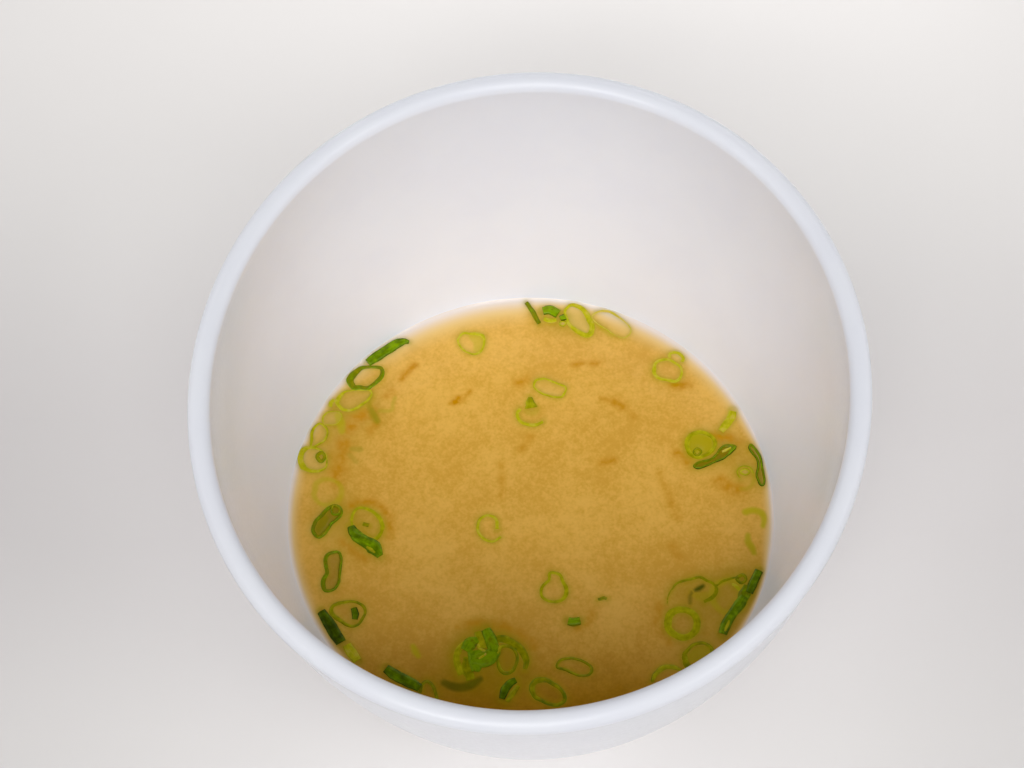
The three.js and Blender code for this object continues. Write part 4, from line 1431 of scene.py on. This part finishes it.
@dataclass
class Scallions:
    """The floating scallion: small slices in one piece, and each large piece for itself."""

    shape: WallShape
    small: tuple[Slice, ...]
    large: dict[str, tuple[Slice, ...]] = field(default_factory=lambda: LARGE_PIECES)
    finish: ScallionFinish = field(default_factory=ScallionFinish)
    step: float = 0.25
    sides: int = 12
    squareness: float = 0.8
    ripple: float = 0.3
    ripple_size: float = 1.4
    ripple_detail: float = 2.0
    ripple_shape: Triple = (1.0, 1.0, 0.4)
    lift_reach: float = 0.6
    small_depth: float = 0.4
    large_depth: float = 0.7

    def band_tree(self) -> bpy.types.NodeTree:
        """Returns the tree that sweeps a soft-edged band along each path of a mesh of edges.

        The paths carry the attributes `band`, half the width, and `tall`, half the height, beside those
        that the finish reads. The tree adds `across`, from -1 on the inner side to 1, `rise` and `along`.
        """
        numbers = {name: "Float" for name in ("Step", "Squareness", "Ripple", "Ripple Size", "Seed")}
        inputs = {"Paths": "Geometry", **numbers, "Sides": "Int", "Material": "Material"}
        graph, given = new_tree("scallion_band", inputs)
        curve = graph.add("GeometryNodeMeshToCurve", {0: given["Paths"]}).outputs[0]
        curve = graph.add("GeometryNodeCurveSplineType", {0: curve}, spline_type="CATMULL_ROM").outputs[0]
        steps = {"Curve": curve, "Length": given["Step"]}
        curve = graph.add("GeometryNodeResampleCurve", steps, mode="LENGTH").outputs[0]
        curve = graph.store(curve, "lift", graph.part(graph.position(), "Z"))
        curve = graph.store(curve, "along", graph.add("GeometryNodeSplineParameter").outputs["Length"])
        curve = graph.add("GeometryNodeSetCurveNormal", {"Curve": curve}, mode="Z_UP").outputs[0]
        sweep = {"Curve": curve, "Profile Curve": self.outline(graph, given)}
        sweep |= {"Scale": graph.read("band"), "Fill Caps": True}
        mesh = graph.add("GeometryNodeCurveToMesh", sweep).outputs[0]
        over = graph.maths("SUBTRACT", graph.part(graph.position(), "Z"), graph.read("lift"))
        taller = graph.maths("DIVIDE", graph.read("tall"), graph.read("band"))
        stretch = graph.maths("SUBTRACT", taller, 1.0)
        raised = graph.vector(z=graph.maths("MULTIPLY", over, stretch))
        mesh = graph.add("GeometryNodeSetPosition", {"Geometry": mesh, "Offset": raised}).outputs[0]
        push = {"Geometry": mesh, "Offset": self.ripples(graph, given)}
        graph.close(graph.add("GeometryNodeSetPosition", push).outputs[0], given["Material"])
        return graph.tree

    def outline(self, graph: Graph, given: bpy.types.bpy_prop_collection) -> Socket:
        """Returns the band's outline: a circle pulled a little square, one unit in radius."""
        circle = {"Resolution": given["Sides"], "Radius": 1.0}
        round_line = graph.add("GeometryNodeCurvePrimitiveCircle", circle).outputs[0]
        squared = []
        for axis in ("X", "Y"):
            place = graph.part(graph.position(), axis)
            size = graph.maths("POWER", graph.maths("ABSOLUTE", place), given["Squareness"])
            squared.append(graph.maths("MULTIPLY", graph.maths("SIGN", place), size))
        placed = {"Geometry": round_line, "Position": graph.vector(*squared)}
        outline = graph.add("GeometryNodeSetPosition", placed).outputs[0]
        for name, axis in (("across", "X"), ("rise", "Y")):
            outline = graph.store(outline, name, graph.part(graph.position(), axis))
        return outline

    def ripples(self, graph: Graph, given: bpy.types.bpy_prop_collection) -> Socket:
        """Returns how far the ripples push each point of the bands."""
        inputs = {
            "Vector": graph.position(),
            "W": given["Seed"],
            "Scale": graph.maths("DIVIDE", 1.0, given["Ripple Size"]),
            "Detail": self.ripple_detail,
        }
        waves = graph.add("ShaderNodeTexNoise", inputs, noise_dimensions="4D").outputs["Color"]
        centred = graph.vector_maths("SUBTRACT", {0: waves, 1: (0.5, 0.5, 0.5)})
        shaped = graph.vector_maths("MULTIPLY", {0: centred, 1: self.ripple_shape})
        return graph.vector_maths("SCALE", {0: shaped, "Scale": given["Ripple"]})

    def paths_object(self, name: str, pieces: Sequence[Slice], depth: float) -> Object:
        """Makes the mesh of edges that the band tree sweeps along.

        Args:
            name: The object's name.
            pieces: The slices.
            depth: How deep the pieces reach below the soup's level.

        Returns:
            The linked object, with its attributes in place.
        """
        points: list[Array] = []
        edges: list[tuple[int, int]] = []
        values: dict[str, list[Array]] = {key: [] for key in ("band", "tall", "skin", "flesh", "outer")}
        for piece in pieces:
            start = sum(len(block) for block in points)
            count = piece.stations
            middle = self.shape.soup_level + (piece.top - depth) / 2
            path = piece.path()
            halves = piece.half_widths()
            lift = self.shape.climb(np.linalg.norm(path, axis=1) + self.lift_reach * halves)
            points.append(np.column_stack([path, middle + lift]))
            edges.extend((start + k, start + k + 1) for k in range(count - 1))
            if piece.closed:
                edges.append((start + count - 1, start))
            values["band"].append(halves * MM)
            values["tall"].append(np.full(count, (piece.top + depth) / 2 * MM))
            values["skin"].append(np.full(count, float(piece.skin)))
            values["flesh"].append(np.full(count, float(piece.flesh)))
            values["outer"].append(np.full(count, piece.outer_side))
        mesh = bpy.data.meshes.new(name)
        mesh.from_pydata((np.vstack(points) * MM).tolist(), edges, [])
        for key, blocks in values.items():
            full = np.concatenate(blocks).astype(np.float32)
            mesh.attributes.new(key, "FLOAT", "POINT").data.foreach_set("value", full)
        made = bpy.data.objects.new(name, mesh)
        bpy.context.scene.collection.objects.link(made)
        return made

    def build(self) -> list[Object]:
        """Returns the finished pieces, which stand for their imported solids."""
        tree = self.band_tree()
        material = self.finish.material()
        kinds = {"small_slices": ("soup", self.small, self.small_depth)}
        for node, bands in self.large.items():
            kinds["green_" + node] = (node, bands, self.large_depth)
        pieces = []
        for seed, (name, (node, bands, depth)) in enumerate(kinds.items()):
            source = self.paths_object(name + "_paths", bands, depth)
            settings = {
                "Step": self.step * MM,
                "Squareness": self.squareness,
                "Ripple": self.ripple * MM,
                "Ripple Size": self.ripple_size * MM,
                "Seed": float(seed),
                "Sides": self.sides,
                "Material": material,
            }
            run_tree(source, tree, settings)
            made = evaluated_copy(source, name)
            face_outwards(made.data)
            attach(made, BODY)
            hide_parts(node)
            pieces.append(made)
        return pieces


@dataclass(frozen=True)
class SoftBox:
    """A square soft light that faces the bowl.

    It hangs `around` degrees from +X and `up` degrees over the table, `reach` metres away. Its power is
    in watts and its size in metres.
    """

    name: str
    around: float
    up: float
    power: float
    size: float = 2.4
    reach: float = 5.0


@dataclass
class Studio:
    """The pale table, the soft light over it, and the camera.

    The `edge_lamps` light the far side of the bowl and give no glint. The `table_lamps` stand close to the
    bowl and light the table alone, where the bowl shades it too much. The camera's `aim` and `reach` are in
    millimetres; the light's and the table's sizes are in metres.
    """

    finish: TableFinish = field(default_factory=TableFinish)
    lights: tuple[SoftBox, ...] = (
        SoftBox("near_light", 270, 42, 47.0),
        SoftBox("high_light", 270, 60, 72.0),
        SoftBox("near_left_light", 244, 44, 45.0, 1.4),
        SoftBox("near_right_light", 326, 44, 29.6, 1.4),
        SoftBox("left_light", 195, 34, 18.4),
        SoftBox("right_light", 352, 30, 21.2),
        SoftBox("far_left_light", 130, 35, 23.6),
        SoftBox("low_left_light", 160, 20, 20.0),
        SoftBox("low_right_light", 20, 20, 25.6),
        SoftBox("far_right_light", 72, 40, 10.4),
    )
    edge_lamps: tuple[SoftBox, ...] = (
        SoftBox("left_edge_light", 120, 0, 16.0, 0.1, 2.5),
        SoftBox("right_edge_light", 60, 0, 16.0, 0.1, 2.5),
    )
    table_lamps: tuple[SoftBox, ...] = (
        SoftBox("left_table_light", 105, 20, 0.2, 0.2, 0.3),
        SoftBox("right_table_light", 75, 20, 0.166, 0.15, 0.22),
        SoftBox("near_table_light", 270, 20, 0.082, 0.1, 0.12),
    )
    light_aim: float = 0.05
    room: float = 0.0244
    room_blue: float = 1.01
    table_size: float = 3.0
    look_down: float = 64.5
    roll: float = -0.88
    sensor: float = 36.0
    focal: float = 116.015625
    clip: float = 0.05
    reach: float = 651.4
    aim: Triple = (-3.2, 28.22, 26.0)

    def table(self) -> Object:
        """Returns the tabletop, staged."""
        half = self.table_size / 2 / MM
        corners = [(-half, -half, 0.0), (half, -half, 0.0), (half, half, 0.0), (-half, half, 0.0)]
        made = mesh_object("tabletop", corners, [(0, 1, 2, 3)])
        made.data.materials.append(self.finish.material())
        return made

    def light(self, box: SoftBox) -> Object:
        """Returns a soft light that faces the bowl."""
        lamp = bpy.data.lights.new(box.name, "AREA")
        lamp.size = box.size
        lamp.energy = box.power
        made = bpy.data.objects.new(box.name, lamp)
        level = heading(box.around) * math.cos(math.radians(box.up))
        away = Vector((level[0], level[1], math.sin(math.radians(box.up))))
        made.location = away * box.reach + Vector((0, 0, self.light_aim))
        made.rotation_euler = away.to_track_quat("Z", "Y").to_euler()
        bpy.context.scene.collection.objects.link(made)
        return made

    def air(self) -> None:
        """Lights the room from all round."""
        world = bpy.data.worlds.new("soft_room")
        world.use_nodes = True
        background = world.node_tree.nodes["Background"]
        background.inputs["Color"].default_value = (self.room, self.room, self.room * self.room_blue, 1.0)
        bpy.context.scene.world = world

    def camera(self) -> None:
        """Adds the camera, which looks down into the bowl from the near side."""
        lens = bpy.data.cameras.new("view")
        lens.sensor_width = self.sensor
        lens.lens = self.focal
        lens.clip_start = self.clip
        made = bpy.data.objects.new("view", lens)
        down = math.radians(self.look_down)
        roll = math.radians(self.roll)
        back = Vector((0, -math.cos(down), math.sin(down)))
        level = Vector((1, 0, 0))
        upward = Vector((0, math.sin(down), math.cos(down)))
        right = level * math.cos(roll) + upward * math.sin(roll)
        top = upward * math.cos(roll) - level * math.sin(roll)
        place = (Vector(self.aim) + back * self.reach) * MM
        made.matrix_world = Matrix.Translation(place) @ Matrix((right, top, back)).transposed().to_4x4()
        bpy.context.scene.collection.objects.link(made)
        bpy.context.scene.camera = made

    def build(self) -> None:
        """Sets up the camera, the light and the table."""
        bpy.context.scene.view_settings.view_transform = "Standard"
        self.camera()
        self.air()
        for box in self.lights:
            self.light(box)
        for box in self.edge_lamps:
            self.light(box).visible_glossy = False
        only_table = bpy.data.collections.new("table_only")
        only_table.objects.link(self.table())
        for box in self.table_lamps:
            linking = self.light(box).light_linking
            linking.receiver_collection = only_table
            linking.blocker_collection = only_table


def report(piece: Object) -> None:
    """Writes a piece's name and its count of triangles to the log."""
    piece.data.calc_loop_triangles()
    LOG.info("%s: %d triangles", piece.name, len(piece.data.loop_triangles))


def main() -> None:
    """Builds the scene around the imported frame, piece by piece."""
    logging.basicConfig(level=logging.INFO, format="%(name)s: %(message)s")
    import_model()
    shape = WallShape.from_frame()
    small = (*FAR_SLICES, *LEFT_SLICES, *MIDDLE_SLICES, *RIGHT_SLICES, *NEAR_SLICES)
    large = tuple(band for bands in LARGE_PIECES.values() for band in bands)
    Studio().build()
    report(Bowl(shape).build())
    report(Soup(shape, (*small, *large)).build())
    for piece in Scallions(shape, small).build():
        report(piece)


if __name__ == "__main__":
    main()
